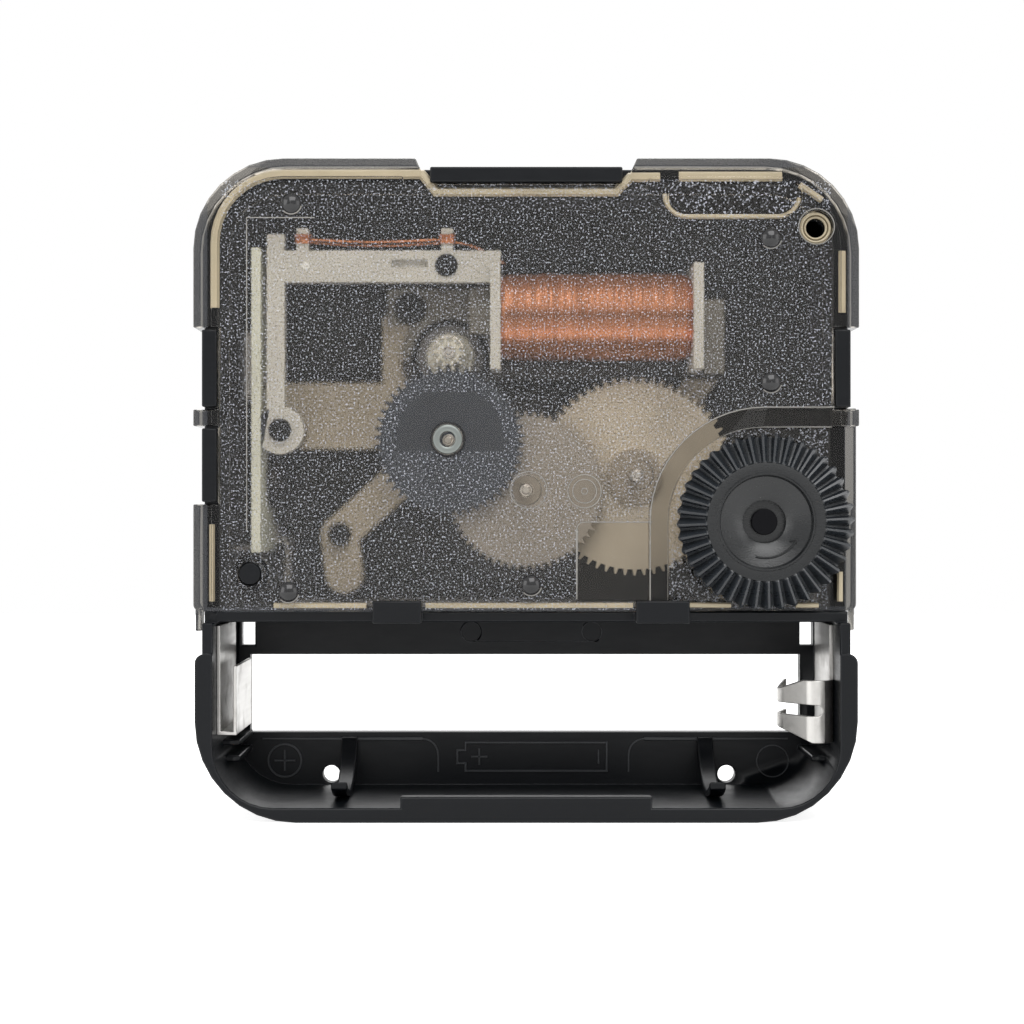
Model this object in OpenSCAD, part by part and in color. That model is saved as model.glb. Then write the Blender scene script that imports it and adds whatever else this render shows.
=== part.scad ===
// Quartz clock movement with its battery bay, standing as it hangs behind a dial.
// The pieces are drawn flat, looking at the back: u to the right, v up, w out of the back.
// stood_up() then turns them so that the hand shaft points to -Y and the back faces +Y.
// The origin is on the hand axis, at the face that rests against the dial.

/* [Case] */
// Half width of the battery bay, outside
bay_half = 27.9; // [27.5:0.1:30]
// Half width of the case round the works, outside
works_half = 27.3; // [26.8:0.1:27.6]
// Reach of the case above the hand axis
case_top = 27.2; // [27:0.1:29]
// Reach of the case below the hand axis
case_low = 28; // [27.5:0.1:32]
// Thickness of the case walls
wall_t = 1.3; // [1:0.05:1.5]
// Thickness of the plate behind the dial
plate_t = 1.4; // [1:0.1:1.8]
// Depth of the case round the works
case_d = 13.9; // [13.6:0.1:15]
// Radius of the corners at the top of the case
top_r = 6.9; // [4:0.1:9]
// Radius of the corners under the battery bay
bay_r = 8.5; // [5:0.1:10]

/* [Battery bay] */
// Diameter of the cell that the bay holds
cell_d = 14.5; // [13.5:0.1:14.7]
// Room above and below the cell
cell_room = 0.3; // [0.2:0.05:0.5]
// Height of the bay's ceiling, under the hand axis
bay_ceiling = 11.2; // [11:0.1:12]
// Thickness of the wall between works and bay
partition_t = 0.9; // [0.7:0.05:1]
// Width of the window in the bay's floor
window_w = 50.2; // [40:0.2:50.6]
// Height of the window in the bay's floor
window_h = 7.1; // [5:0.1:9]
// Half length of the thickened rim under the bay
lip_half = 10.6; // [6:0.2:14]

/* [Cover] */
// Reach of the cover's border past the case at the sides
cover_overhang = 0.7; // [0.5:0.05:1]
// Height of the cover's lower edge, under the hand axis
cover_low = 10.25; // [9.9:0.05:10.3]
// Thickness of the cover's raised panel
cover_t = 1.1; // [0.8:0.05:1.4]
// Thickness of the cover's lower border
border_t = 0.5; // [0.4:0.05:0.8]
// Width of the cover's border round the raised panel
border_w = 1.6; // [1.2:0.1:2]
// Half width of the notch in the cover's top edge
notch_half = 8.4; // [6:0.2:10]
// Lower and upper end of the notches in the cover's sides
side_notch = [-1.2, 13.7]; // [-2:0.1:14]
// How far the cover's skirt reaches down outside the case
skirt_h = 4.2; // [2:0.1:6]
// Depth of the pocket for the knob, below the cover's back
pocket_d = 2; // [1.6:0.1:2.4]

/* [Gear train] */
// Distance from the hand axis to the intermediate arbor
intermediate_reach = 7.86; // [7.8:0.02:8]
// Distance from the intermediate arbor to the rotor
rotor_reach = 7.54; // [7.4:0.02:7.7]
// Distance from the hand axis to the third arbor
third_reach = 9.6; // [9.5:0.02:9.7]
// Direction of the intermediate arbor from the hand axis, in degrees
intermediate_bearing = 147.2; // [145:0.2:149]
// Direction of the third arbor from the hand axis, in degrees
third_bearing = 7.8; // [6:0.2:9]
// Direction of the setting shaft from the third arbor, in degrees
setting_bearing = -20.7; // [-22:0.1:-19.6]
// Thickness of the wheels
wheel_t = 0.8; // [0.6:0.05:0.85]
// Gap between one wheel and the next along the arbors
layer_gap = 0.35; // [0.3:0.01:0.38]
// Radial clearance of an arbor in its bearing
run_gap = 0.04; // [0.02:0.01:0.08]
// Radius of the seconds and third arbors
arbor_r = 0.54; // [0.5:0.02:0.6]
// Radius of the pivots at the arbors' ends
pivot_r = 0.3; // [0.25:0.01:0.34]

/* [Hand shaft] */
// Radius over the thread of the bushing
bushing_r = 4; // [3.8:0.1:5]
// Length of the bushing in front of the dial face
bushing_l = 6; // [4:0.5:12]
// Depth of the recess round the bushing in the case's face
face_recess = 0.4; // [0.2:0.05:0.6]
// Length of the hour tube in front of the bushing
hour_l = 2.6; // [2:0.1:4]
// Radius of the hour tube
hour_r = 2.5; // [2.4:0.05:2.75]
// Length of the minute shaft in front of the hour tube
minute_l = 3; // [2:0.1:4]
// Radius of the minute shaft
minute_r = 1.6; // [1.4:0.05:1.8]
// Length of the seconds arbor in front of the minute shaft
second_l = 1.7; // [1:0.1:3]
// Radius of the seconds hand's seat
second_r = 0.5; // [0.4:0.02:0.54]
// How much thicker each shaft is behind the seat of its hand
shoulder = 0.25; // [0.2:0.01:0.3]

/* [Rotor and coil] */
// Radius of the rotor's magnet
magnet_r = 2.9; // [2.5:0.05:3]
// Thickness of the rotor's magnet
magnet_t = 2; // [1.6:0.1:2.2]
// Air gap between magnet and stator
air_gap = 0.5; // [0.3:0.05:0.6]
// Thickness of the stator plates
stator_t = 0.8; // [0.6:0.05:0.9]
// Radius of the copper winding
coil_r = 3.8; // [3:0.05:3.9]
// Length of the copper winding
coil_l = 16.4; // [14:0.1:16.6]
// Thickness of the bobbin's end flanges
flange_t = 0.9; // [0.6:0.05:1]

/* [Setting knob] */
// Radius of the knob
knob_r = 7.45; // [6.5:0.05:7.6]
// Thickness of the knob's rim
knob_t = 2.2; // [1.6:0.1:2.4]
// Number of grip teeth round the knob
knob_teeth = 40; // [24:2:48]
// Height of the knob above the cover's back
knob_proud = 1.1; // [0.6:0.1:1.6]

/* [Circuit board] */
// Thickness of the circuit board
board_t = 0.8; // [0.6:0.1:1]
// Lower and upper end of the circuit board
board_v = [-5.3, 20.7]; // [-5.4:0.1:21]
// Depth of the circuit board
board_d = 11; // [9:0.1:11.8]

/* [Contacts] */
// Thickness of the contact sheet
sheet_t = 0.3; // [0.2:0.05:0.35]
// Width of the contact sheet, along the depth of the case
sheet_w = 9; // [6:0.2:10]
// Radius of the shoulder over which the spring contact bends
shoulder_r = 1.25; // [1:0.05:1.5]
// Length of the spring's straight run, from the shoulder to the belly that meets the cell
spring_run = 2.5; // [2:0.1:3]
// Radius of the spring's belly
belly_r = 1.6; // [1.2:0.1:2]

/* [Hidden] */
$fn = 48;
arc_steps = 8;

// Teeth of each wheel and of the pinion that drives or follows it
rotor_leaves = 10;
intermediate_teeth = 50;
intermediate_leaves = 10;
seconds_teeth = 60;
seconds_leaves = 8;
third_teeth = 64;
third_leaves = 8;
centre_teeth = 60;
cannon_leaves = 16;
minute_teeth = 64;
minute_leaves = 20;
hour_teeth = 60;
setting_leaves = 30;

// Tooth sizes, so that each pair meets at its own centre distance
rotor_m = 2 * rotor_reach / (intermediate_teeth + rotor_leaves);
seconds_m = 2 * intermediate_reach / (seconds_teeth + intermediate_leaves);
third_m = 2 * third_reach / (third_teeth + seconds_leaves);
centre_m = 2 * third_reach / (centre_teeth + third_leaves);
motion_m = 2 * third_reach / (minute_teeth + cannon_leaves);

// Axes, seen from the back
function polar(r, a) = [r * cos(a), r * sin(a)];
hand_axis = [0, 0];
intermediate_axis = polar(intermediate_reach, intermediate_bearing);
rotor_axis = intermediate_axis + [0, rotor_reach];
third_axis = polar(third_reach, third_bearing);
setting_axis = third_axis + polar(motion_m * (minute_teeth + setting_leaves) / 2, setting_bearing);

// Turn of each gear at rest, so that every pair is in mesh
function bearing(a, b) = atan2(b[1] - a[1], b[0] - a[0]);
function mate_turn(a, b, turn, teeth, mate_teeth) =
    bearing(a, b) + 180 - (0.5 - (bearing(a, b) - turn) * teeth / 360) * 360 / mate_teeth;
seconds_turn = 0;
intermediate_turn = mate_turn(hand_axis, intermediate_axis, seconds_turn,
    seconds_teeth, intermediate_leaves);
rotor_turn = mate_turn(intermediate_axis, rotor_axis, intermediate_turn,
    intermediate_teeth, rotor_leaves);
third_turn = mate_turn(hand_axis, third_axis, seconds_turn, seconds_leaves, third_teeth);
centre_turn = mate_turn(third_axis, hand_axis, third_turn, third_leaves, centre_teeth);
minute_turn = 0;
cannon_turn = mate_turn(third_axis, hand_axis, minute_turn, minute_teeth, cannon_leaves);
hour_turn = mate_turn(third_axis, hand_axis, minute_turn, minute_leaves, hour_teeth);
setting_turn = mate_turn(third_axis, setting_axis, minute_turn, minute_teeth, setting_leaves);

// Heights of the layers above the dial face
hour_w = plate_t + layer_gap;
minute_w = hour_w + wheel_t + layer_gap;
centre_w = minute_w + wheel_t + layer_gap;
mid_w = centre_w + wheel_t + layer_gap;
mid_top = mid_w + wheel_t;
stator_top = mid_top + stator_t;
third_w = stator_top + layer_gap;
seconds_w = third_w + wheel_t + 2 * layer_gap;
intermediate_w = seconds_w + wheel_t + 2 * layer_gap;
intermediate_top = intermediate_w + wheel_t;
back_w = case_d + cover_t;
bearing_w = case_d - 1.5;
leaf_overlap = 0.1;
// Span of every cut that goes right through
through = [-40, 40];
pivot_l = 0.9;
pivot_end = 0.1;

// Front ends of the hand shaft's parts, the steps behind their seats, and their bores
hour_end = -bushing_l - hour_l;
minute_end = hour_end - minute_l;
second_end = minute_end - second_l;
step_gap = 0.1;
hour_step = -bushing_l - step_gap;
minute_step = hour_end - step_gap;
second_step = minute_end - step_gap;
hour_bore = minute_r + shoulder + run_gap;
minute_bore = second_r + shoulder + run_gap;
neck_r = bushing_r - 0.6;
recess_r = bushing_r + 0.7;
minute_neck_r = minute_r - 0.4;
third_post_r = 0.75;

// Battery bay
bay_inner = bay_half - wall_t - 0.2;
partition_top = bay_ceiling - partition_t;
cell_v = -bay_ceiling - cell_room - cell_d / 2;
bay_floor_v = cell_v - cell_d / 2 - cell_room - 0.45;
bay_inner_r = bay_r - wall_t - 2.1;
lip_v = bay_floor_v + 0.95;
neck_v = -13.8;
window_v = cell_v + 0.35;
cell_w = plate_t + cell_d / 2 - 0.4;
claw_w = 1.4;
claw_u = [-16, 16.4];
claw_hole_u = [-17.7, 18.4];
latch_u = [[-12.9, -8.8], [9.2, 13.7]];
latch_proud = 0.6;
bay_slot_u = [[-bay_inner + 0.5, -bay_inner + 1.7], [bay_inner - 1.3, bay_inner - 0.1]];
bay_slot_v = [-14, -11.8];
mould_marks = [[-4.95, -12.8], [6.1, -12.8]];
rib_v = [-22.2, -23.6];

// Cover
cover_half = works_half + cover_overhang + 0.1;
cover_top = case_top + cover_overhang + 0.1;
skirt_gap = 0.1;
side_tab = [5.4, 6.8];
tab_gap = 0.2;
tray_u = [12, works_half - 4.1];
tray_v = [case_top - 4, case_top - 1.1];
tray_r = 1.3;
domes = [[-works_half + 7.53, 24.1], [works_half - 6.73, 21.2], [works_half - 6.73, 9.07],
    [0.4, -7.98], [-works_half + 7.3, -8.57]];
ear_low = 11.9;
ear_w = case_d - 1;
panel_half = cover_half - border_w;
notch_slant = 1.4;
pocket_w = back_w - pocket_d;
pocket_r = knob_r + 0.6;
pocket_wall = 1.6;
skirt_w = case_d - skirt_h;

// Rotor, coil and bobbin
magnet_w = mid_w;
coil_w = stator_top + 2.6;
coil_u = [-2.16, -2.16 + coil_l];
coil_v = 15.05;
core_h = 3;
core_t = 1.4;
core_ends = [coil_u[0] - 2.75, coil_u[1] + 2.95];
core_end_t = 1.75;
// The stators' long arms lie under the rotor's gap, clear of the winding
stator_v = min(rotor_axis[1] - 1.9, coil_v - 5.15);
stator_r = magnet_r + air_gap;
stator_rim = 1;
stator_gap = 0.5;
flange_v = [coil_v - 4.75, coil_v + 4.35];
flange_w = [stator_top + 0.1, case_d - 0.9];
arm_w = [stator_top + 4, stator_top + 5.3];
arm_v = [coil_v + 2.75, coil_v + 5.45];
ring_at = [-works_half + 6.25, 5.15];
ring_r = 2.05;
post_r = 0.9;
post_gap = 0.08;
bobbin_hole = [-6.8, coil_v + 4.2];
pegs = [[ring_at[0] + 1.95, arm_v[1]], [-6.75, arm_v[1]]];
peg_h = 1.9;
peg_t = 1;

// Case posts: place, radius, and height to which they reach
pillar_at = [-10.2, coil_v + 1.05];
support_at = [16.25, 10.9];
cover_post_low = [-works_half + 4, -7.06];
cover_post_high = [works_half - 2.9, case_top - 5.1];
plate_post = [-16.5, -3.84];
cover_post_r = 0.98;

// Circuit board and contacts
board_u = -works_half + 3.85;
strip_v = -partition_top + 0.05;
strip_turn = board_u + 1.85;
plate_left = board_u + 2.05;
contact_low = -20.9;
contact_top = -bay_ceiling - 0.35;
contact_w = [3.6, 3.6 + sheet_w];
tail_w = [3.6, 6];
tail_v = -4.9;
tail_door = 2 * sheet_t + 0.2;
// Outer face of the tails, which stand where both bay and works reach
tail_u = min(bay_inner, works_half - wall_t + 0.4);
strip_w = [plate_t + 0.2, plate_t + 2.2];
cell_stop = bay_inner - 1.7;
spring_v = [-21.6, -16.25];
spring_top = 12.75;
spring_fall = 140;
spring_curl = 200;
spring_tail = 2.4;
prong_slot_at = [bay_inner - 1.58, -18.82];
prong_slot_r = 0.48;
prong_slot_v = [prong_slot_at[1] - prong_slot_r, prong_slot_at[1] + prong_slot_r];
// Corners cut off the prongs, from where their edges meet the wall
prong_cut_low = [[-6.4, 2], [-2, 0], [-2, -0.4], [-6.4, -0.4]];
prong_cut_high = [[-6.4, -1.85], [-6.4, 0.25], [-2.65, 0.25], [-2.65, 0]];
setting_r = 1.1;
knob_w = back_w + knob_proud - knob_t;
socket_r = 1.8;

module stood_up() rotate([90, 0, 180]) children();
module slab(u, v, w) translate([u[0], v[0], w[0]]) cube([u[1] - u[0], v[1] - v[0], w[1] - w[0]]);
module disc(p, r, w) translate([p[0], p[1], w[0]]) cylinder(h = w[1] - w[0], r = r);
module plate(w) translate([0, 0, w[0]]) linear_extrude(height = w[1] - w[0]) children();

// Points of an arc from one angle to another
function arc(c, r, from, to) = [for (i = [0 : arc_steps]) c + polar(r, from + i * (to - from) / arc_steps)];
// Rectangle with one radius for its lower and one for its upper corners
module rounded(u, v, low_r, high_r) polygon(concat(
    arc([u[0] + low_r, v[0] + low_r], low_r, 180, 270),
    arc([u[1] - low_r, v[0] + low_r], low_r, 270, 360),
    arc([u[1] - high_r, v[1] - high_r], high_r, 0, 90),
    arc([u[0] + high_r, v[1] - high_r], high_r, 90, 180)));
// Straight bar with round ends
module bar(a, b, width) polygon(concat(
    arc(b, width / 2, bearing(a, b) - 90, bearing(a, b) + 90),
    arc(a, width / 2, bearing(a, b) + 90, bearing(a, b) + 270)));

// Gear outline: each tooth is a low and a high point on either flank, as shares of the pitch
// and of the tooth size
tooth_flank = [[-0.27, -1.2], [-0.1, 0.8], [0.1, 0.8], [0.27, -1.2]];
module gear(p, teeth, m, turn, w) translate([p[0], p[1], w[0]]) linear_extrude(height = w[1] - w[0])
    polygon([for (i = [0 : teeth - 1], s = tooth_flank)
        polar(m * (teeth / 2 + s[1]), turn + (i + s[0]) * 360 / teeth)]);
module pierced(p, r) difference() {
    children();
    disc(p, r, through);
}

module case_plan(inset) {
    rounded([-works_half + inset, works_half - inset], [neck_v - 2, case_top - inset], 1, top_r - inset);
    if (inset == 0)
        rounded([-bay_half, bay_half], [-case_low, neck_v], bay_r, 0.8);
}
module works_plan(inset) rounded([-works_half + inset, works_half - inset],
    [-partition_top, case_top - inset], 0.5, top_r - inset);
module bay_plan() rounded([-bay_inner, bay_inner], [bay_floor_v, -bay_ceiling], bay_inner_r, 0.3);

module bay_claw(u) {
    claw_r = [cell_d / 2 + 0.1, cell_d / 2 + 0.7];
    translate([u - claw_w / 2, cell_v, cell_w]) rotate([0, 90, 0]) difference() {
        cylinder(h = claw_w, r = claw_r[1]);
        translate([0, 0, -1]) cylinder(h = claw_w + 2, r = claw_r[0]);
        translate([-12, -cell_d / 4, -1]) cube([24, 14, 4]);
        translate([-12, -12, -1]) cube([8, 14, 4]);
    }
}
module latch(u) {
    slab(u, [-bay_ceiling, -partition_top], [case_d - 1, back_w + latch_proud]);
    slab(u, [-partition_top, -partition_top + 1], [back_w + 0.05, back_w + latch_proud]);
}

module front_case() color([0.07, 0.07, 0.08]) stood_up() {
    for (u = latch_u)
        latch(u);
    difference() {
        union() {
            plate([0, plate_t]) case_plan(0);
            plate([0, case_d - 0.4]) difference() {
                case_plan(0);
                works_plan(wall_t);
                bay_plan();
            }
            // Rim of the bay, level with the cover's back
            plate([case_d - 0.5, back_w]) difference() {
                rounded([-bay_half, bay_half], [-case_low, neck_v], bay_r, 0.8);
                bay_plan();
            }
            plate([case_d - 0.5, back_w - 0.2]) difference() {
                translate([-works_half, neck_v]) square([2 * works_half, -neck_v - bay_ceiling]);
                translate([-bay_inner, neck_v - 1]) square([2 * bay_inner, 4]);
            }
            // Wall tabs that stand in the cover's notches
            plate([case_d - 0.5, back_w - 0.1]) intersection() {
                difference() {
                    works_plan(0);
                    works_plan(wall_t);
                }
                union() {
                    translate([-notch_half + 0.3, 20]) square([2 * notch_half - 0.6, 10]);
                    for (side = [-30, 20]) {
                        translate([side, side_tab[1] + tab_gap])
                            square([10, side_notch[1] - side_tab[1] - 2 * tab_gap]);
                        translate([side, side_notch[0] + tab_gap])
                            square([10, side_tab[0] - side_notch[0] - 2 * tab_gap]);
                    }
                }
            }
            slab([-lip_half, lip_half], [-case_low + 0.5, lip_v], [back_w - 1.2, back_w]);
            for (u = claw_u)
                bay_claw(u);
            // Ribs that back the contacts
            for (side = [-1, 1], v = rib_v)
                translate([side * (bay_inner - 0.7) - 0.8, v, plate_t - 0.1]) cube([1.6, 0.5, 8]);
            // Seats and posts of the works
            disc(rotor_axis, 1.2, [0, mid_w - 0.3]);
            disc(third_axis, third_post_r, [0, minute_w + wheel_t]);
            disc(setting_axis, 1.6, [0, hour_w + 0.2]);
            disc(pillar_at, 1.5, [0, mid_w]);
            disc(pillar_at, post_r, [0, stator_top + 1.2]);
            disc(support_at, 1, [0, mid_top]);
            disc(plate_post, 1.5, [0, mid_w]);
            disc(plate_post, post_r, [0, mid_top + 1.2]);
            disc(ring_at, 1.5, [0, arm_w[0]]);
            disc(ring_at, post_r, [0, arm_w[1] + 0.5]);
            disc(bobbin_hole, 1.3, [0, arm_w[0]]);
            disc(bobbin_hole, post_r, [0, arm_w[1] + 0.3]);
            disc(cover_post_low, 1.6, [0, case_d - cover_t - 0.3]);
            disc(cover_post_low, cover_post_r, [0, back_w - 0.4]);
            disc(cover_post_high, 1.6, [0, case_d - 0.4]);
            // Slots that hold the circuit board on edge
            for (v = [board_v[0] + 2.5, board_v[1] - 3.5], side = [-0.85, board_t + 0.1])
                translate([board_u + side, v, 0]) cube([0.75, 2, plate_t + 3]);
            // Rib that carries the middle plate
            slab([plate_left + 1.9, plate_left + 3.6], [4.2, 9], [0, mid_w]);
            slab([17, 19], [-9.2, -7.6], [0, mid_w]);
        }
        disc(hand_axis, neck_r, through);
        disc(hand_axis, recess_r, [-1, face_recess]);
        disc(rotor_axis, pivot_r + run_gap, [mid_w - 0.3 - pivot_l, mid_w]);
        disc(third_axis, pivot_r + run_gap, [minute_w + wheel_t - pivot_l, minute_w + wheel_t + 1]);
        disc(setting_axis, setting_r + run_gap, [0.4, hour_w + 1]);
        disc(cover_post_high, 0.75, [3, case_d + 1]);
        slab([-window_w / 2, window_w / 2], [window_v - window_h / 2, window_v + window_h / 2],
            [-1, plate_t + 0.01]);
        // The wall is lower beside the knob's pocket
        plate([pocket_w - cover_t, back_w + 1]) intersection() {
            pocket_plan(pocket_wall);
            translate([0, -partition_top]) square([40, 40]);
        }
        // Core holes under the claws, and slots beside the window
        for (u = claw_hole_u)
            disc([u, bay_floor_v + 0.95], 0.8, [-1, plate_t + 1]);
        for (u = bay_slot_u)
            slab(u, bay_slot_v, [-1, plate_t + 0.01]);
        // Doors in the partition for the contact tails
        for (side = [[-tail_u, -tail_u + tail_door], [tail_u - tail_door, tail_u]])
            slab(side, [-bay_ceiling - 1, tail_v + 0.3], [plate_t + 0.1, tail_w[1] + 0.1]);
        // Sunk marks of the mould in the bay
        for (p = mould_marks)
            disc(p, 0.9, [plate_t - 0.2, plate_t + 0.01]);
    }
}

module cover_plan(inset) difference() {
    rounded([-cover_half + inset, cover_half - inset], [-cover_low + inset * 0.2, cover_top - inset],
        0.6, top_r + cover_overhang - inset);
    polygon([[-notch_half - inset - notch_slant, cover_top + 1],
        [-notch_half - inset, case_top - wall_t - inset * 0.4],
        [notch_half + inset, case_top - wall_t - inset * 0.4],
        [notch_half + inset + notch_slant, cover_top + 1]]);
    for (side = [-1, 1], v = [[side_notch[0], side_tab[0]], [side_tab[1], side_notch[1]]])
        translate([side * (works_half - wall_t - 0.1 + 5) - 5, v[0]])
            square([10, v[1] - v[0]]);
}
// The knob's pocket: open to the right and below, with a round corner about the setting axis
module pocket_plan(grow) {
    translate(setting_axis) circle(r = pocket_r + grow);
    translate([setting_axis[0] - pocket_r - grow, -cover_low - 5])
        square([40, setting_axis[1] + cover_low + 5]);
    translate([setting_axis[0], -cover_low - 5])
        square([40, setting_axis[1] + pocket_r + grow + cover_low + 5]);
}
module cover_boss(p, w, r) pierced_blind(p, w) disc(p, r, [w, case_d + 0.1]);
module pierced_blind(p, w) difference() {
    children();
    disc(p, pivot_r + run_gap, [w - 1, w + pivot_l]);
}
module dome(p) translate([p[0], p[1], back_w - 0.5]) intersection() {
    sphere(r = 0.95);
    cylinder(h = 2, r = 0.84);
}

module back_cover() color([0.42, 0.36, 0.30, 0.5]) stood_up() difference() {
    union() {
        difference() {
            union() {
                plate([case_d - 0.4, case_d + border_t]) cover_plan(0);
                plate([case_d - 0.4, back_w]) cover_plan(border_w);
                // Skirt outside the case walls
                plate([skirt_w, case_d]) difference() {
                    cover_plan(0);
                    works_plan(-skirt_gap);
                    translate([-works_half - skirt_gap, -cover_low - 1])
                        square([2 * (works_half + skirt_gap), 4]);
                }
                // Ears that reach down beside the bay's rim
                for (u = [[-bay_half, -works_half - skirt_gap], [works_half + skirt_gap, bay_half]])
                    slab(u, [-ear_low, -cover_low + 1], [ear_w, case_d + border_t]);
            }
            plate([case_d - 1, case_d]) works_plan(wall_t + 0.9);
            plate([case_d - 1, case_d - 0.4]) works_plan(-0.01);
            plate([pocket_w, back_w + 1]) pocket_plan(0);
        }
        // Floor and wall of the knob's pocket
        plate([pocket_w - cover_t, back_w]) intersection() {
            works_plan(wall_t + 0.1);
            difference() {
                pocket_plan(pocket_wall);
                pocket_plan(0);
            }
            cover_plan(border_w);
        }
        plate([pocket_w - cover_t, pocket_w]) intersection() {
            translate([0, -cover_low]) square([40, 40]);
            pocket_plan(pocket_wall);
            rounded([-cover_half, cover_half], [-cover_low, cover_top], 0.6, top_r);
        }
        cover_boss(hand_axis, bearing_w, 1.3);
        cover_boss(intermediate_axis, bearing_w, 1.3);
        cover_boss(rotor_axis, bearing_w, 1.3);
        cover_boss(third_axis, bearing_w, 1.3);
        disc(intermediate_axis, 1.3, [back_w - 0.1, back_w + 0.15]);
        disc(hand_axis, 1.34, [back_w - 0.1, back_w + 0.15]);
        disc(cover_post_low, 1.6, [case_d - cover_t - 0.3, back_w]);
        for (p = domes)
            dome(p);
    }
    disc(intermediate_axis, 0.63, [back_w - 0.5, back_w + 1]);
    disc(hand_axis, 0.54, [back_w - 0.5, back_w + 1]);
    disc(cover_post_low, cover_post_r + post_gap, through);
    disc(cover_post_high, 1.39, [back_w - 0.9, back_w + 1]);
    disc(cover_post_high, 0.8, through);
    disc(setting_axis, setting_r + 0.3, through);
    // Shallow windows over the wheels and the tray at the top right
    plate([back_w - 0.25, back_w + 0.1]) rounded(tray_u, tray_v, tray_r, tray_r);
}

module threaded_bushing() color([0.78, 0.62, 0.32]) stood_up() difference() {
    union() {
        disc(hand_axis, bushing_r, [-bushing_l, 0]);
        disc(hand_axis, neck_r, [-0.1, plate_t]);
    }
    disc(hand_axis, hour_r + shoulder + run_gap, through);
}

module middle_plate() color([0.80, 0.74, 0.60]) stood_up() difference() {
    plate([mid_w, mid_top]) difference() {
        union() {
            translate([plate_left, 3.75]) square([-5 - plate_left, 5.85]);
            translate([-12.7, 9.5]) square([3, coil_v + 0.45 - 9.5]);
            translate(pillar_at) circle(r = 1.9);
            bar([-9, 3], plate_post, 3.2);
            bar(plate_post, plate_post + [0.4, -3.6], 3.4);
            translate(hand_axis) circle(r = 5);
            bar(hand_axis, intermediate_axis, 5);
            bar(hand_axis, third_axis, 6);
            bar(third_axis, setting_axis, 4.6);
            bar(third_axis, [18, -8.4], 2.6);
            bar(third_axis, support_at, 2.4);
        }
        translate(rotor_axis) circle(r = stator_r + 0.2);
    }
    disc(hand_axis, arbor_r + run_gap, through);
    disc(intermediate_axis, pivot_r + run_gap, through);
    disc(third_axis, third_m * third_leaves / 2 + 0.5, through);
    disc(setting_axis, setting_r + run_gap, through);
    disc(pillar_at, post_r + post_gap, through);
    disc(plate_post, post_r + post_gap, through);
    disc(support_at, 1 + post_gap, through);
    disc(ring_at, 1.5 + post_gap, through);
}

module coil_bobbin() color([0.86, 0.87, 0.84]) stood_up() difference() {
    union() {
        translate([coil_u[0], coil_v, coil_w]) rotate([0, 90, 0]) cylinder(h = coil_l, r = 2.1);
        slab([coil_u[0] - flange_t, coil_u[0]], flange_v, flange_w);
        slab([coil_u[1], coil_u[1] + flange_t], flange_v, flange_w);
        slab([ring_at[0] - 1.1, coil_u[0]], arm_v, arm_w);
        slab([ring_at[0] - 1.1, ring_at[0] + 0.4], [ring_at[1], arm_v[1] + 1.4], arm_w);
        disc(ring_at, ring_r, arm_w);
        for (p = pegs)
            slab([p[0] - peg_t / 2, p[0] + peg_t / 2], [p[1] - 0.1, p[1] + peg_h], arm_w);
    }
    translate([coil_u[0] - 5, coil_v - core_h / 2, coil_w - core_t / 2])
        cube([coil_l + 10, core_h, core_t]);
    slab([-40, board_u + board_t + 0.1], [-40, 40], [0, 40]);
    disc(ring_at, post_r + post_gap, through);
    disc(bobbin_hole, post_r + post_gap, through);
    slab([-11.5, -8.4], [coil_v + 4, coil_v + 4.7], [arm_w[1] - 0.5, arm_w[1] + 1]);
}

module coil_winding() color([0.72, 0.42, 0.27]) stood_up()
    translate([coil_u[0], coil_v, coil_w]) rotate([0, 90, 0]) difference() {
        cylinder(h = coil_l, r = coil_r);
        translate([0, 0, -1]) cylinder(h = coil_l + 2, r = 2.1);
    }

module coil_leads() color([0.75, 0.42, 0.25]) stood_up() {
    for (p = pegs)
        difference() {
            slab([p[0] - peg_t / 2 - 0.25, p[0] + peg_t / 2 + 0.25], [p[1] + 0.6, p[1] + 1.4],
                [arm_w[0] - 0.25, arm_w[1] + 0.25]);
            slab([p[0] - peg_t / 2, p[0] + peg_t / 2], [p[1], p[1] + 2], arm_w);
        }
    lead_w = [arm_w[1] - 0.3, arm_w[1] - 0.05];
    slab([pegs[0][0] + peg_t / 2 + 0.25, pegs[1][0] - peg_t / 2 - 0.25],
        [pegs[0][1] + 1, pegs[0][1] + 1.25], lead_w);
}

module coil_core() color([0.55, 0.55, 0.55]) stood_up() {
    core_top = coil_w + core_t / 2;
    slab(core_ends, [coil_v - core_h / 2, coil_v + core_h / 2], [core_top - core_t, core_top]);
    slab([core_ends[0], core_ends[0] + core_end_t], [coil_v - 0.15, coil_v + 2.55], [stator_top, core_top]);
    slab([core_ends[1] - core_end_t, core_ends[1]], [stator_v + 0.2, coil_v + core_h / 2],
        [stator_top, core_top]);
}

module stator_plan() {
    translate(rotor_axis) circle(r = stator_r + stator_rim);
    translate([-12.2, coil_v - 0.35]) square([12.2 + core_ends[0] + core_end_t, 3.2]);
    translate([rotor_axis[0], stator_v]) square([core_ends[1] - rotor_axis[0], 1.55]);
    translate([core_ends[1] - core_end_t, stator_v]) square([core_end_t, 3]);
}
module upper_stator() color([0.62, 0.62, 0.60]) stood_up() plate([mid_top, stator_top]) difference() {
    stator_plan();
    translate(rotor_axis) circle(r = stator_r);
    translate([-30, -20]) square([60, 20 + rotor_axis[1] + stator_gap / 2]);
    translate([coil_u[0] - 0.5, 0]) square([30, 30]);
    translate(pillar_at) circle(r = post_r + post_gap);
}
module lower_stator() color([0.62, 0.62, 0.60]) stood_up() plate([mid_top, stator_top]) difference() {
    stator_plan();
    translate(rotor_axis) circle(r = stator_r);
    translate([-30, rotor_axis[1] - stator_gap / 2]) square([core_ends[1] - core_end_t + 30, 20]);
}

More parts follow.
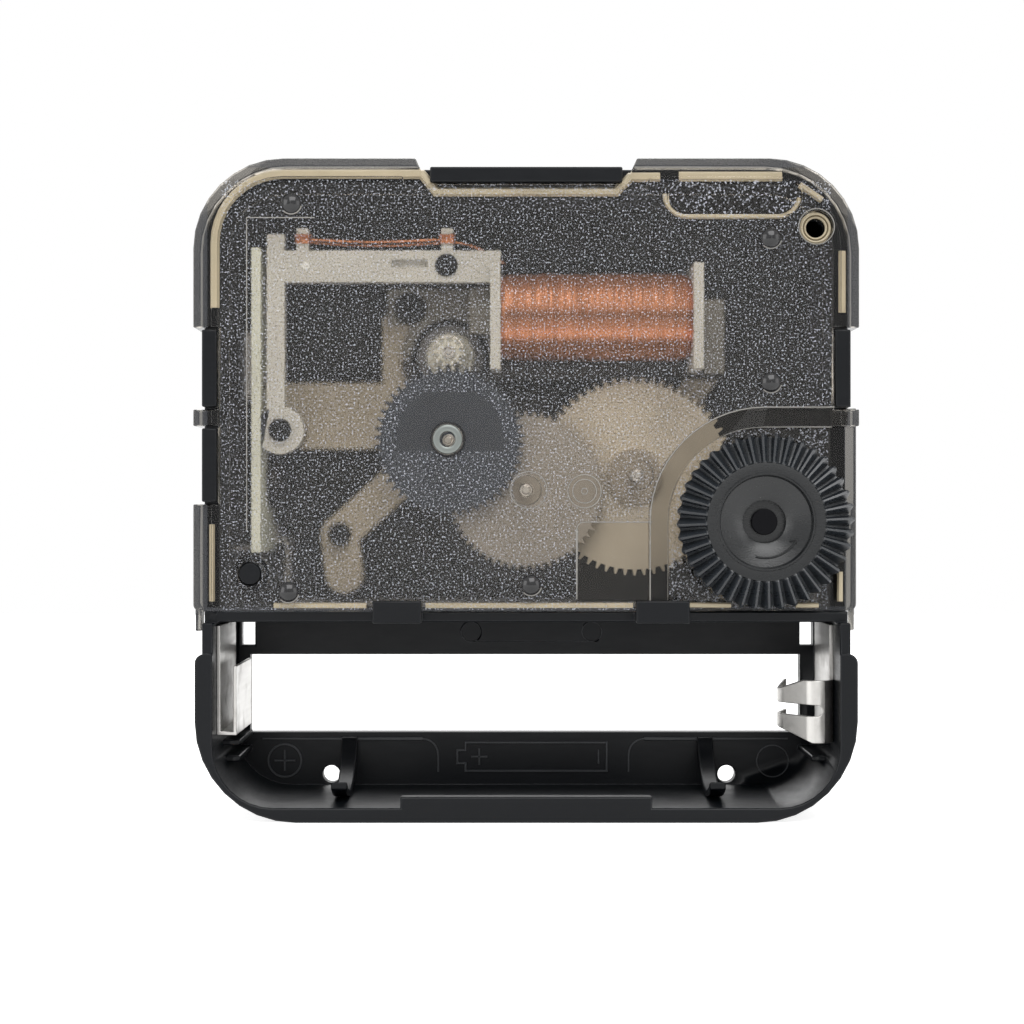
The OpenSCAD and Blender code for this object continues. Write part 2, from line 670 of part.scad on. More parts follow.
module rotor_magnet() color([0.25, 0.25, 0.27]) stood_up()
    pierced(rotor_axis, arbor_r) disc(rotor_axis, magnet_r, [magnet_w, magnet_w + magnet_t]);
module rotor_pinion() color([0.85, 0.85, 0.80]) stood_up() pierced(rotor_axis, arbor_r) {
    disc(rotor_axis, 2.1, [magnet_w + magnet_t, magnet_w + magnet_t + 0.4]);
    disc(rotor_axis, 0.9, [magnet_w + magnet_t, intermediate_w]);
    gear(rotor_axis, rotor_leaves, rotor_m, rotor_turn, [intermediate_w - 0.3, intermediate_top + 0.3]);
}
module arbor(p, w) {
    disc(p, arbor_r, [w[0] + layer_gap, w[1] - layer_gap]);
    disc(p, pivot_r, [w[0] - pivot_l + pivot_end, w[1] + pivot_l - pivot_end]);
}
module rotor_arbor() color([0.75, 0.75, 0.76]) stood_up() arbor(rotor_axis, [mid_w - 0.3, bearing_w]);

module intermediate_wheel() color([0.12, 0.14, 0.18]) stood_up() pierced(intermediate_axis, arbor_r) {
    gear(intermediate_axis, intermediate_teeth, rotor_m, intermediate_turn,
        [intermediate_w, intermediate_top]);
    gear(intermediate_axis, intermediate_leaves, seconds_m, intermediate_turn,
        [seconds_w - leaf_overlap, intermediate_w]);
}
module intermediate_arbor() color([0.75, 0.75, 0.76]) stood_up()
    arbor(intermediate_axis, [mid_top, bearing_w]);

module seconds_wheel() color([0.80, 0.76, 0.66]) stood_up() pierced(hand_axis, arbor_r) {
    gear(hand_axis, seconds_teeth, seconds_m, seconds_turn, [seconds_w, seconds_w + wheel_t]);
    gear(hand_axis, seconds_leaves, third_m, seconds_turn, [third_w - leaf_overlap, seconds_w]);
}
module seconds_arbor() color([0.75, 0.75, 0.76]) stood_up() {
    disc(hand_axis, second_r, [second_end, second_step + 0.1]);
    disc(hand_axis, second_r + shoulder, [second_step, minute_w - layer_gap]);
    disc(hand_axis, arbor_r, [second_step, bearing_w - layer_gap]);
    disc(hand_axis, pivot_r, [mid_w, bearing_w + pivot_l - pivot_end]);
}

module third_wheel() color([0.90, 0.85, 0.72]) stood_up() pierced(third_axis, arbor_r) {
    gear(third_axis, third_teeth, third_m, third_turn, [third_w, third_w + wheel_t]);
    disc(third_axis, 2.4, [third_w + wheel_t - 0.1, third_w + wheel_t + 0.5]);
    disc(third_axis, centre_m * (third_leaves / 2 - 1), [centre_w, third_w]);
    gear(third_axis, third_leaves, centre_m, third_turn,
        [centre_w - leaf_overlap, centre_w + wheel_t + leaf_overlap]);
}
module third_arbor() color([0.75, 0.75, 0.76]) stood_up()
    arbor(third_axis, [minute_w + wheel_t, bearing_w]);

module centre_wheel() color([0.10, 0.10, 0.11]) stood_up() pierced(hand_axis, minute_neck_r + run_gap)
    gear(hand_axis, centre_teeth, centre_m, centre_turn, [centre_w, centre_w + wheel_t]);

module minute_shaft() color([0.12, 0.12, 0.13]) stood_up() pierced(hand_axis, minute_bore) {
    disc(hand_axis, minute_r, [minute_end, minute_step + 0.1]);
    disc(hand_axis, minute_r + shoulder, [minute_step, minute_w]);
    gear(hand_axis, cannon_leaves, motion_m, cannon_turn, [minute_w, minute_w + wheel_t]);
    disc(hand_axis, minute_neck_r, [minute_w + wheel_t - 0.1, mid_w - 0.1]);
}
module minute_wheel() color([0.10, 0.10, 0.11]) stood_up() pierced(third_axis, third_post_r + run_gap) {
    gear(third_axis, minute_teeth, motion_m, minute_turn, [minute_w, minute_w + wheel_t]);
    gear(third_axis, minute_leaves, motion_m, minute_turn, [hour_w - leaf_overlap, minute_w]);
}
module hour_wheel() color([0.10, 0.10, 0.11]) stood_up() pierced(hand_axis, hour_bore) {
    gear(hand_axis, hour_teeth, motion_m, hour_turn, [hour_w, hour_w + wheel_t]);
    disc(hand_axis, hour_r, [hour_end, hour_step + 0.1]);
    disc(hand_axis, hour_r + shoulder, [hour_step, hour_w + 0.1]);
}

module setting_shaft() color([0.08, 0.08, 0.09]) stood_up() {
    disc(setting_axis, setting_r, [0.5, knob_w + 0.8]);
    gear(setting_axis, setting_leaves, motion_m, setting_turn,
        [minute_w - leaf_overlap, minute_w + wheel_t + leaf_overlap]);
}
module knob_section() rotate_extrude() polygon([
    [setting_r, 0], [knob_r, 0], [knob_r, knob_t - 0.5], [knob_r - 0.5, knob_t],
    [4, knob_t], [3.8, knob_t - 0.5], [2.5, knob_t - 0.9], [socket_r, knob_t - 1.3],
    [socket_r, 0.8], [setting_r, 0.8]
]);
module setting_knob() color([0.06, 0.06, 0.07]) stood_up() difference() {
    translate([setting_axis[0], setting_axis[1], knob_w]) knob_section();
    for (i = [0 : knob_teeth - 1])
        translate([setting_axis[0], setting_axis[1], knob_w + knob_t])
            rotate([0, 0, i * 360 / knob_teeth]) translate([5, 0, 0])
                rotate([0, 12, 0]) rotate([45, 0, 0]) translate([0, -0.35, -0.35]) cube([4, 0.7, 0.7]);
}

module circuit_board() color([0.72, 0.78, 0.66]) stood_up()
    slab([board_u, board_u + board_t], board_v, [plate_t, plate_t + board_d]);
module control_chip() color([0.05, 0.05, 0.06]) stood_up() translate([board_u + board_t, 1, plate_t + 5])
    rotate([0, 90, 0]) cylinder(h = 1.2, r1 = 2.6, r2 = 1.6);
module quartz_crystal() color([0.80, 0.80, 0.82]) stood_up()
    translate([board_u - 1, 8, plate_t + 5]) rotate([-90, 0, 0]) cylinder(h = 6, r = 1);
module solder_joints() color([0.72, 0.72, 0.74]) stood_up() for (v = [12.5, 15.5, 9.5, 18.2])
    translate([board_u + board_t, v, plate_t + 8.5]) rotate([0, 90, 0])
        cylinder(h = 0.5, r1 = 0.8, r2 = 0.35);

module positive_contact() color([0.80, 0.80, 0.78]) stood_up() {
    slab([-bay_inner, -bay_inner + sheet_t], [contact_low, contact_top], contact_w);
    slab([-bay_inner, -cell_stop], [contact_low, contact_low + sheet_t], contact_w);
    slab([-cell_stop - sheet_t, -cell_stop], [contact_low, -15], contact_w);
    slab([-bay_inner, -tail_u + sheet_t], [contact_top - sheet_t, contact_top], tail_w);
    slab([-tail_u, -tail_u + sheet_t], [contact_top - 0.1, tail_v], tail_w);
    slab([min(-tail_u, board_u - sheet_t), max(board_u, -tail_u + sheet_t)],
        [tail_v - sheet_t, tail_v], tail_w);
    slab([board_u - sheet_t, board_u], [tail_v - sheet_t, tail_v + 1.6], tail_w);
}
// Section of the spring leaf in u and w: round the shoulder, down to the belly and back to its free end
module leaf_section() {
    wall_u = bay_inner - sheet_t / 2;
    shoulder_at = [wall_u - shoulder_r, spring_top - shoulder_r - sheet_t / 2];
    belly_at = shoulder_at + polar(shoulder_r - belly_r, spring_fall) + polar(spring_run, spring_fall + 90);
    free_end = polar(spring_tail, spring_curl + 90);
    inner_r = [shoulder_r - sheet_t / 2, belly_r - sheet_t / 2];
    polygon(concat(
        arc(shoulder_at, inner_r[0] + sheet_t, 0, spring_fall),
        arc(belly_at, inner_r[1] + sheet_t, spring_fall, spring_curl),
        [for (r = [inner_r[1] + sheet_t, inner_r[1]]) belly_at + free_end + polar(r, spring_curl)],
        arc(belly_at, inner_r[1], spring_curl, spring_fall),
        arc(shoulder_at, inner_r[0], spring_fall, 0)));
}
module spring_contact() color([0.80, 0.80, 0.78]) stood_up() {
    shoulder_w = spring_top - shoulder_r - sheet_t / 2;
    wall_u = [bay_inner - sheet_t, bay_inner];
    slab(wall_u, [spring_v[0], contact_top], [contact_w[0], shoulder_w]);
    slab([tail_u - sheet_t, bay_inner], [contact_top - sheet_t, contact_top], tail_w);
    slab([tail_u - sheet_t, tail_u], [contact_top - 0.1, -partition_top + 1.3], tail_w);
    difference() {
        translate([0, spring_v[1], 0]) rotate([90, 0, 0])
            linear_extrude(height = spring_v[1] - spring_v[0]) leaf_section();
        // Slot between the two prongs, and their slanted corners
        slab([bay_inner - 8, prong_slot_at[0]], prong_slot_v, through);
        disc(prong_slot_at, prong_slot_r, through);
        plate(through) translate([bay_inner, spring_v[0]]) polygon(prong_cut_low);
        plate(through) translate([bay_inner, spring_v[1]]) polygon(prong_cut_high);
    }
}
module return_strip() color([0.80, 0.80, 0.78]) stood_up() {
    strip_end = tail_u - sheet_t;
    slab([strip_turn, strip_end], [strip_v, strip_v + sheet_t], strip_w);
    slab([strip_turn, strip_turn + sheet_t], [strip_v, tail_v + 0.6], strip_w);
    slab([board_u + board_t, strip_turn + sheet_t], [tail_v + 0.6 - sheet_t, tail_v + 0.6], strip_w);
    slab([board_u + board_t, board_u + board_t + sheet_t], [tail_v + 0.6 - sheet_t, tail_v + 1.8], strip_w);
    slab([strip_end - sheet_t, strip_end], [strip_v, strip_v + 1.4], [strip_w[0], tail_w[1]]);
}

front_case();
back_cover();
threaded_bushing();
middle_plate();
coil_bobbin();
coil_winding();
coil_core();
coil_leads();
upper_stator();
lower_stator();
rotor_magnet();
rotor_pinion();
rotor_arbor();
intermediate_wheel();
intermediate_arbor();
seconds_wheel();
seconds_arbor();
third_wheel();
third_arbor();
centre_wheel();
minute_shaft();
minute_wheel();
hour_wheel();
setting_shaft();
setting_knob();
circuit_board();
control_chip();
quartz_crystal();
solder_joints();
positive_contact();
spring_contact();
return_strip();
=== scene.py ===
"""Quartz clock movement: its looks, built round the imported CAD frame.

Places in this file are in millimetres, drawn as seen from the back of the movement:
u to the right, v up, w out of the back, from the dial face on the hand axis.
at() turns them into the frame, in metres.
"""
import math
import random

import bmesh
import bpy
import numpy
from bpy.props import FloatProperty, FloatVectorProperty, IntProperty, PointerProperty
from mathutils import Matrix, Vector
from mathutils.kdtree import KDTree


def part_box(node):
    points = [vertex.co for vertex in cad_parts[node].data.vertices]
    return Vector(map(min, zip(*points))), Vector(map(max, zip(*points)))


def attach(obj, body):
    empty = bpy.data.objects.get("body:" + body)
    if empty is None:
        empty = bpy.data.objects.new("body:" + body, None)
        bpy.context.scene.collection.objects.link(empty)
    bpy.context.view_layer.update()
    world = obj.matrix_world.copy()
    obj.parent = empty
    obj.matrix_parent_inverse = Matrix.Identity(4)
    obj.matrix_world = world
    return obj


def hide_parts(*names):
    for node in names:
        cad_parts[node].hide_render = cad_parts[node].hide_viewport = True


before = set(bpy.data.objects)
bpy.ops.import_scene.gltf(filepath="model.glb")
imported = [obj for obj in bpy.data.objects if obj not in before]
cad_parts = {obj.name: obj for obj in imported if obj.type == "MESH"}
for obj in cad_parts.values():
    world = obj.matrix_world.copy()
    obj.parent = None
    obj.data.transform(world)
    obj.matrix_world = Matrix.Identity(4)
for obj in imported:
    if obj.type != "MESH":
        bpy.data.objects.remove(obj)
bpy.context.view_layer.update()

bl_info = {
    "name": "Quartz clock movement",
    "version": (1, 0, 0),
    "blender": (4, 5, 0),
    "location": "3D View > Sidebar > Clock movement",
    "description": "Dresses a packed clock movement with bevelled pieces and moulded finishes",
    "category": "Object",
}

MM = 0.001
WHITE = (1, 1, 1)

# Levels above the dial face
PLATE_TOP = 1.4
KNOB_BASE = 13.9
POCKET_FLOOR = KNOB_BASE - 0.35
BACK = 15.0


def at(u, v, w):
    """The point in the frame for a place seen from the back."""
    return Vector((-u, w, v)) * MM


def axis_of(node):
    """Where a node's axis along w stands, as (u, v)."""
    low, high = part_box(node)
    return -(low.x + high.x) / 2 / MM, (low.z + high.z) / 2 / MM


def polar(radius, angle, centre=(0, 0)):
    """The point (u, v) at an angle in radians round a centre."""
    return centre[0] + radius * math.cos(angle), centre[1] + radius * math.sin(angle)


# Shader helpers

def wire(tree, target, value):
    """Feeds a socket from another socket, or sets it to a plain value."""
    if isinstance(value, bpy.types.NodeSocket):
        tree.links.new(value, target)
    else:
        target.default_value = value


def math_of(tree, operation, *values, clamp=False):
    """The result of one sum on sockets or plain values."""
    node = tree.nodes.new("ShaderNodeMath")
    node.operation = operation
    node.use_clamp = clamp
    for socket, value in zip(node.inputs, values):
        wire(tree, socket, value)
    return node.outputs[0]


def ramp_of(tree, value, low, high, to_low=0.0, to_high=1.0):
    """A value carried smoothly from one range to another, and held at its ends."""
    node = tree.nodes.new("ShaderNodeMapRange")
    node.interpolation_type = "SMOOTHSTEP"
    for name, number in (("Value", value), ("From Min", low), ("From Max", high),
                         ("To Min", to_low), ("To Max", to_high)):
        wire(tree, node.inputs[name], number)
    return node.outputs["Result"]


def mix_of(tree, factor, a, b, blend="MIX"):
    """Two colours mixed by a factor."""
    node = tree.nodes.new("ShaderNodeMix")
    node.data_type = "RGBA"
    node.blend_type = blend
    wire(tree, node.inputs["Factor"], factor)
    wire(tree, node.inputs["A"], a if isinstance(a, bpy.types.NodeSocket) else (*a, 1))
    wire(tree, node.inputs["B"], b if isinstance(b, bpy.types.NodeSocket) else (*b, 1))
    return node.outputs["Result"]


def noise_of(tree, vector, scale, detail=2.0, roughness=0.5):
    """A noise pattern, about 0.5 on average."""
    node = tree.nodes.new("ShaderNodeTexNoise")
    wire(tree, node.inputs["Vector"], vector)
    wire(tree, node.inputs["Scale"], scale)
    node.inputs["Detail"].default_value = detail
    node.inputs["Roughness"].default_value = roughness
    return node.outputs["Fac"]


def stretched(tree, vector, scale):
    """A place scaled along each axis, for a pattern that runs one way."""
    node = tree.nodes.new("ShaderNodeMapping")
    wire(tree, node.inputs["Vector"], vector)
    node.inputs["Scale"].default_value = scale
    return node.outputs["Vector"]


def object_place(tree):
    """The place on the piece, in metres."""
    return tree.nodes.new("ShaderNodeTexCoord").outputs["Object"]


def bump_of(tree, height, strength, distance):
    """The normal of a surface raised by a height, at most by a distance in metres."""
    node = tree.nodes.new("ShaderNodeBump")
    wire(tree, node.inputs["Height"], height)
    wire(tree, node.inputs["Strength"], strength)
    wire(tree, node.inputs["Distance"], distance)
    return node.outputs["Normal"]


def new_group(name, inputs, outputs):
    """An empty shader node group with named inputs (name, kind, default) and outputs (name, kind)."""
    tree = bpy.data.node_groups.new(name, "ShaderNodeTree")
    for label, kind, default in inputs:
        socket = tree.interface.new_socket(name=label, in_out="INPUT", socket_type=kind)
        socket.default_value = default
    for label, kind in outputs:
        tree.interface.new_socket(name=label, in_out="OUTPUT", socket_type=kind)
    return tree, tree.nodes.new("NodeGroupInput").outputs, tree.nodes.new("NodeGroupOutput").inputs


def mix_shaders(tree, factor, first, second):
    """The output of a mix of two shaders: the first at 0, the second at 1."""
    node = tree.nodes.new("ShaderNodeMixShader")
    wire(tree, node.inputs["Fac"], factor)
    tree.links.new(first, node.inputs[1])
    tree.links.new(second, node.inputs[2])
    return node.outputs[0]


def combined(tree, value):
    """A grey colour from a value."""
    node = tree.nodes.new("ShaderNodeCombineColor")
    for socket in node.inputs:
        wire(tree, socket, value)
    return node.outputs[0]


def seen_place(tree):
    """The place on the piece seen from the back: u and v in millimetres."""
    split = tree.nodes.new("ShaderNodeSeparateXYZ")
    wire(tree, split.inputs[0], object_place(tree))
    return (math_of(tree, "MULTIPLY", split.outputs["X"], -1 / MM),
            math_of(tree, "MULTIPLY", split.outputs["Z"], 1 / MM))


# The finishes

FLOAT, COLOUR, VECTOR = "NodeSocketFloat", "NodeSocketColor", "NodeSocketVector"

# Waves of each pattern along a metre
TONE_SCALE, FLOW_SCALE, TARNISH_SCALE, COVER_TONE_SCALE, FLOOR_SCALE = 160.0, 420.0, 500.0, 240.0, 900.0
# Heights of the bumps in metres
SKIN_BUMP, STREAK_BUMP, WIRE_BUMP, GRAIN_BUMP = 0.00005, 0.00002, 0.00006, 0.00005
# Paler edges of moulded plastic, a painted highlight along them, and dulled patches of metal
SHEEN_RADIUS, SHEEN_COLOUR = 0.00012, (0.35, 0.37, 0.39)
TARNISH_COLOUR = (0.16, 0.14, 0.12)
# How moulded plastic lets light into its skin, with the depth in metres
SCATTER_COLOURS, SCATTER_DEPTH = (1.0, 0.85, 0.7), 0.0008
# Half the width of a mask's soft edge in millimetres
SOFT = 0.05


def moulded_group():
    """Moulded plastic: fine skin grain, slow change of tone, flow marks and paler edges of painted highlight.
    """
    tree, given, out = new_group(
        "moulded_skin",
        [("Colour", COLOUR, (0.5, 0.5, 0.5, 1)), ("Roughness", FLOAT, 0.4), ("Grain", FLOAT, 4000.0),
         ("Depth", FLOAT, 0.2), ("Tone", FLOAT, 0.1), ("Wear", FLOAT, 0.1)],
        [("Colour", COLOUR), ("Roughness", FLOAT), ("Normal", VECTOR)])
    place = object_place(tree)
    skin = noise_of(tree, place, given["Grain"], 3.0, 0.6)
    slow = noise_of(tree, place, TONE_SCALE, 3.0)
    flow = noise_of(tree, stretched(tree, place, (1, 1, 6)), FLOW_SCALE, 4.0, 0.6)
    light = math_of(tree, "MULTIPLY_ADD", math_of(tree, "SUBTRACT", slow, 0.5), given["Tone"], 1.0)
    shaded = mix_of(tree, 1.0, given["Colour"], combined(tree, light), "MULTIPLY")
    # Painted highlight: the colour turns paler where the surface rounds over an edge
    softened = tree.nodes.new("ShaderNodeBevel")
    softened.samples = 4
    softened.inputs["Radius"].default_value = SHEEN_RADIUS
    likeness = tree.nodes.new("ShaderNodeVectorMath")
    likeness.operation = "DOT_PRODUCT"
    wire(tree, likeness.inputs[0], softened.outputs[0])
    wire(tree, likeness.inputs[1], tree.nodes.new("ShaderNodeNewGeometry").outputs["Normal"])
    edge = math_of(tree, "MULTIPLY", ramp_of(tree, likeness.outputs["Value"], 0.99, 0.8), given["Wear"])
    wire(tree, out["Colour"], mix_of(tree, edge, shaded, SHEEN_COLOUR))
    rough = math_of(tree, "MULTIPLY_ADD", math_of(tree, "SUBTRACT", flow, 0.5), 0.25, given["Roughness"])
    wire(tree, out["Roughness"], math_of(tree, "ADD", rough, 0.0, clamp=True))
    wire(tree, out["Normal"], bump_of(tree, skin, given["Depth"], SKIN_BUMP))
    return tree


def metal_group():
    """Rolled or turned metal: streaks along one direction, faint spots and dulled patches."""
    tree, given, out = new_group(
        "worked_metal",
        [("Colour", COLOUR, (0.6, 0.6, 0.6, 1)), ("Roughness", FLOAT, 0.3), ("Streaks", FLOAT, 3000.0),
         ("Depth", FLOAT, 0.2), ("Tarnish", FLOAT, 0.2)],
        [("Colour", COLOUR), ("Roughness", FLOAT), ("Normal", VECTOR)])
    place = object_place(tree)
    streak = noise_of(tree, stretched(tree, place, (1, 0.06, 1)), given["Streaks"], 3.0)
    patch = ramp_of(tree, noise_of(tree, place, TARNISH_SCALE, 5.0, 0.65), 0.45, 0.7)
    dull = math_of(tree, "MULTIPLY", patch, given["Tarnish"])
    wire(tree, out["Colour"], mix_of(tree, dull, given["Colour"], TARNISH_COLOUR))
    rough = math_of(tree, "MULTIPLY_ADD", streak, 0.2, given["Roughness"])
    wire(tree, out["Roughness"], math_of(tree, "MULTIPLY_ADD", dull, 0.5, rough, clamp=True))
    wire(tree, out["Normal"], bump_of(tree, streak, given["Depth"], STREAK_BUMP))
    return tree


def box_mask_group():
    """1 inside an upright box seen from the back, 0 outside, with a soft edge."""
    tree, given, out = new_group(
        "box_mask",
        [("Centre u", FLOAT, 0.0), ("Centre v", FLOAT, 0.0), ("Half u", FLOAT, 1.0), ("Half v", FLOAT, 1.0)],
        [("Mask", FLOAT)])
    sides = []
    for place, name in zip(seen_place(tree), "uv"):
        away = math_of(tree, "ABSOLUTE", math_of(tree, "SUBTRACT", place, given["Centre " + name]))
        sides.append(ramp_of(tree, math_of(tree, "SUBTRACT", given["Half " + name], away), -SOFT, SOFT))
    wire(tree, out["Mask"], math_of(tree, "MULTIPLY", *sides))
    return tree


def disc_mask_group():
    """1 inside a circle seen from the back, 0 outside, with a soft edge."""
    tree, given, out = new_group(
        "disc_mask", [("Centre u", FLOAT, 0.0), ("Centre v", FLOAT, 0.0), ("Radius", FLOAT, 1.0)],
        [("Mask", FLOAT)])
    squares = [math_of(tree, "POWER", math_of(tree, "SUBTRACT", place, given["Centre " + name]), 2.0)
               for place, name in zip(seen_place(tree), "uv")]
    away = math_of(tree, "SQRT", math_of(tree, "ADD", *squares))
    wire(tree, out["Mask"], ramp_of(tree, math_of(tree, "SUBTRACT", given["Radius"], away), -SOFT, SOFT))
    return tree


def group_in(tree, builder, **values):
    """Places a shared node group, built on first use, and sets its inputs by name."""
    group = bpy.data.node_groups.get(builder.__name__)
    if group is None:
        group = builder()
        group.name = builder.__name__
    node = tree.nodes.new("ShaderNodeGroup")
    node.node_tree = group
    for label, value in values.items():
        wire(tree, node.inputs[label.replace("_", " ")], value)
    return node.outputs


def new_material(name):
    """A new material with its tree, its principled surface and its output."""
    material = bpy.data.materials.new(name)
    material.use_nodes = True
    tree = material.node_tree
    tree.nodes.clear()
    surface = tree.nodes.new("ShaderNodeBsdfPrincipled")
    output = tree.nodes.new("ShaderNodeOutputMaterial")
    tree.links.new(surface.outputs[0], output.inputs["Surface"])
    return material, tree, surface, output


def skinned(tree, surface, shown, skin):
    """Feeds a surface with a colour and with its skin's roughness and normal."""
    for label, value in (("Base Color", shown), ("Roughness", skin["Roughness"]), ("Normal", skin["Normal"])):
        wire(tree, surface.inputs[label], value)


def moulded(name, colour, roughness, grain=4000.0, depth=0.2, tone=0.3, edge_sheen=0.05, subsurface=0.0,
            shine=0.5, hub=None):
    """A moulded plastic of one colour, and another on a hub given as (u, v, radius, share, colour)."""
    material, tree, surface, _ = new_material(name)
    skin = group_in(tree, moulded_group, Colour=(*colour, 1), Roughness=roughness, Grain=grain, Depth=depth,
                    Tone=tone, Wear=edge_sheen)
    shown = skin["Colour"]
    if hub:
        shown = mix_of(tree, math_of(tree, "MULTIPLY", disc_mask(tree, hub[:3]), hub[3]), shown, hub[4])
    skinned(tree, surface, shown, skin)
    surface.inputs["Subsurface Weight"].default_value = subsurface
    surface.inputs["Subsurface Radius"].default_value = SCATTER_COLOURS
    surface.inputs["Subsurface Scale"].default_value = SCATTER_DEPTH
    surface.inputs["Specular IOR Level"].default_value = shine
    material.diffuse_color = (*colour, 1)
    return material


def worked(name, colour, roughness, streaks=3000.0, depth=0.2, tarnish=0.2):
    """A bare metal of one colour."""
    material, tree, surface, _ = new_material(name)
    skin = group_in(tree, metal_group, Colour=(*colour, 1), Roughness=roughness, Streaks=streaks, Depth=depth,
                    Tarnish=tarnish)
    skinned(tree, surface, skin["Colour"], skin)
    surface.inputs["Metallic"].default_value = 1.0
    material.diffuse_color = (*colour, 1)
    return material


# Bands of painted reflection along the winding, one brighter and one duller: the level v, the reach on each
# side and the light added or taken
PAINTED_REFLECTION_BANDS = ((13.3, 0.8, 0.8), (14.85, 0.95, -0.45))
TURNS_SCALE, STREAKS_SCALE = (9000, 150, 150), (1300, 60, 60)
DARK_TURNS = 0.72


def copper_winding(colour):
    """Enamelled copper wire in close turns across u, with a brighter and a duller band of painted reflection
    along the winding.
    """
    material, tree, surface, _ = new_material("copper_winding")
    place = object_place(tree)
    turns = noise_of(tree, stretched(tree, place, TURNS_SCALE), 1.0)
    streaks = noise_of(tree, stretched(tree, place, STREAKS_SCALE), 1.0)
    mixed = math_of(tree, "MULTIPLY_ADD", streaks, 0.4, math_of(tree, "MULTIPLY", turns, 0.6))
    wound = mix_of(tree, ramp_of(tree, mixed, 0.35, 0.62), tuple(DARK_TURNS * c for c in colour), colour)
    split = tree.nodes.new("ShaderNodeSeparateXYZ")
    wire(tree, split.inputs[0], place)
    # Each band paints reflection into the colour, lighter or darker about its level v
    for level, reach, gain in PAINTED_REFLECTION_BANDS:
        away = math_of(tree, "ABSOLUTE", math_of(tree, "MULTIPLY_ADD", split.outputs["Z"], 1 / MM, -level))
        light = math_of(tree, "MULTIPLY_ADD", ramp_of(tree, away, 0.0, reach, 1.0, 0.0), gain, 1.0)
        wound = mix_of(tree, 1.0, wound, combined(tree, light), "MULTIPLY")
    wire(tree, surface.inputs["Base Color"], wound)
    wire(tree, surface.inputs["Roughness"], ramp_of(tree, turns, 0.3, 0.7, 0.42, 0.32))
    wire(tree, surface.inputs["Normal"], bump_of(tree, turns, 0.25, WIRE_BUMP))
    surface.inputs["Metallic"].default_value = 0.6
    return material


# The smoky cover's material

# Places on the cover's face: a small boss, the boss on the hands' axis, the post's hole and the low domes
SMALL_BOSS, SECONDS_BOSS, POST_HOLE = (4.9, -0.1), (0.2, 0.0), (24.4, 22.15)
DOMES = [(-19.77, 24.1), (20.57, 21.2), (20.57, 9.07), (0.4, -7.98), (-20.0, -8.57)]
# Smooth places in the grain: boxes as (centre u, centre v, half u, half v), discs as (u, v, radius)
SMALL_WINDOW = (7.4, -6.05, 3.15, 3.35)
SMOOTH_DISCS = [(*axis_of("intermediate_wheel"), 1.35), (*SECONDS_BOSS, 1.34), (*SMALL_BOSS, 1.5),
                (*POST_HOLE, 1.45)]
# The fan-shaped window is a disc cut off above and below
FAN_DISC, FAN_BOX = (-6.4, 4.26, 4.5), (-6.4, 5.75, 6.0, 2.5)
# The wall of the knob's pocket is smooth, between these radii about the knob's axis
POCKET_OUT, POCKET_IN = 9.65, 8.05
# Half the side of the boxes that carry the pocket's outline past the cover's edges
POCKET_REACH = 20
# The grained panel, and the clear part inside the milky border
GRAINED_BOX = (0.0, 8.0, 25.7, 18.1)
CLEAR_BOX = (0.1, 8.65, 27.0, 18.55)
# How the clear plastic bends, mirrors and passes light
COVER_IOR, COVER_SHINE, COVER_CLEAR = 1.32, 0.15, 0.995


def box_mask(tree, box):
    """The mask of a box given as (centre u, centre v, half u, half v)."""
    names = ("Centre_u", "Centre_v", "Half_u", "Half_v")
    return group_in(tree, box_mask_group, **dict(zip(names, box)))["Mask"]


def disc_mask(tree, disc):
    """The mask of a disc given as (u, v, radius)."""
    return group_in(tree, disc_mask_group, **dict(zip(("Centre_u", "Centre_v", "Radius"), disc)))["Mask"]


def pocket_mask(tree, radius):
    """1 inside the pocket's outline with a corner of the given radius, which runs down and to the right."""
    u, v = axis_of("setting_knob")
    far = POCKET_REACH
    low = box_mask(tree, (u + far - radius, v - far, far, far))
    right = box_mask(tree, (u + far, v - far + radius, far, far))
    return math_of(tree, "MAXIMUM", math_of(tree, "MAXIMUM", low, right), disc_mask(tree, (u, v, radius)))


def pocket_band(tree):
    """1 on the wall of the knob's pocket."""
    inner = math_of(tree, "SUBTRACT", 1.0, pocket_mask(tree, POCKET_IN))
    return math_of(tree, "MULTIPLY", pocket_mask(tree, POCKET_OUT), inner)


def grained_field(tree):
    """1 where the cover's face is grained, 0 in its smooth windows and outside the panel."""
    smooth = math_of(tree, "MULTIPLY", disc_mask(tree, FAN_DISC), box_mask(tree, FAN_BOX))
    for window in (pocket_band(tree), box_mask(tree, SMALL_WINDOW),
                   *(disc_mask(tree, disc) for disc in SMOOTH_DISCS)):
        smooth = math_of(tree, "MAXIMUM", smooth, window)
    return math_of(tree, "MULTIPLY", box_mask(tree, GRAINED_BOX), math_of(tree, "SUBTRACT", 1.0, smooth))


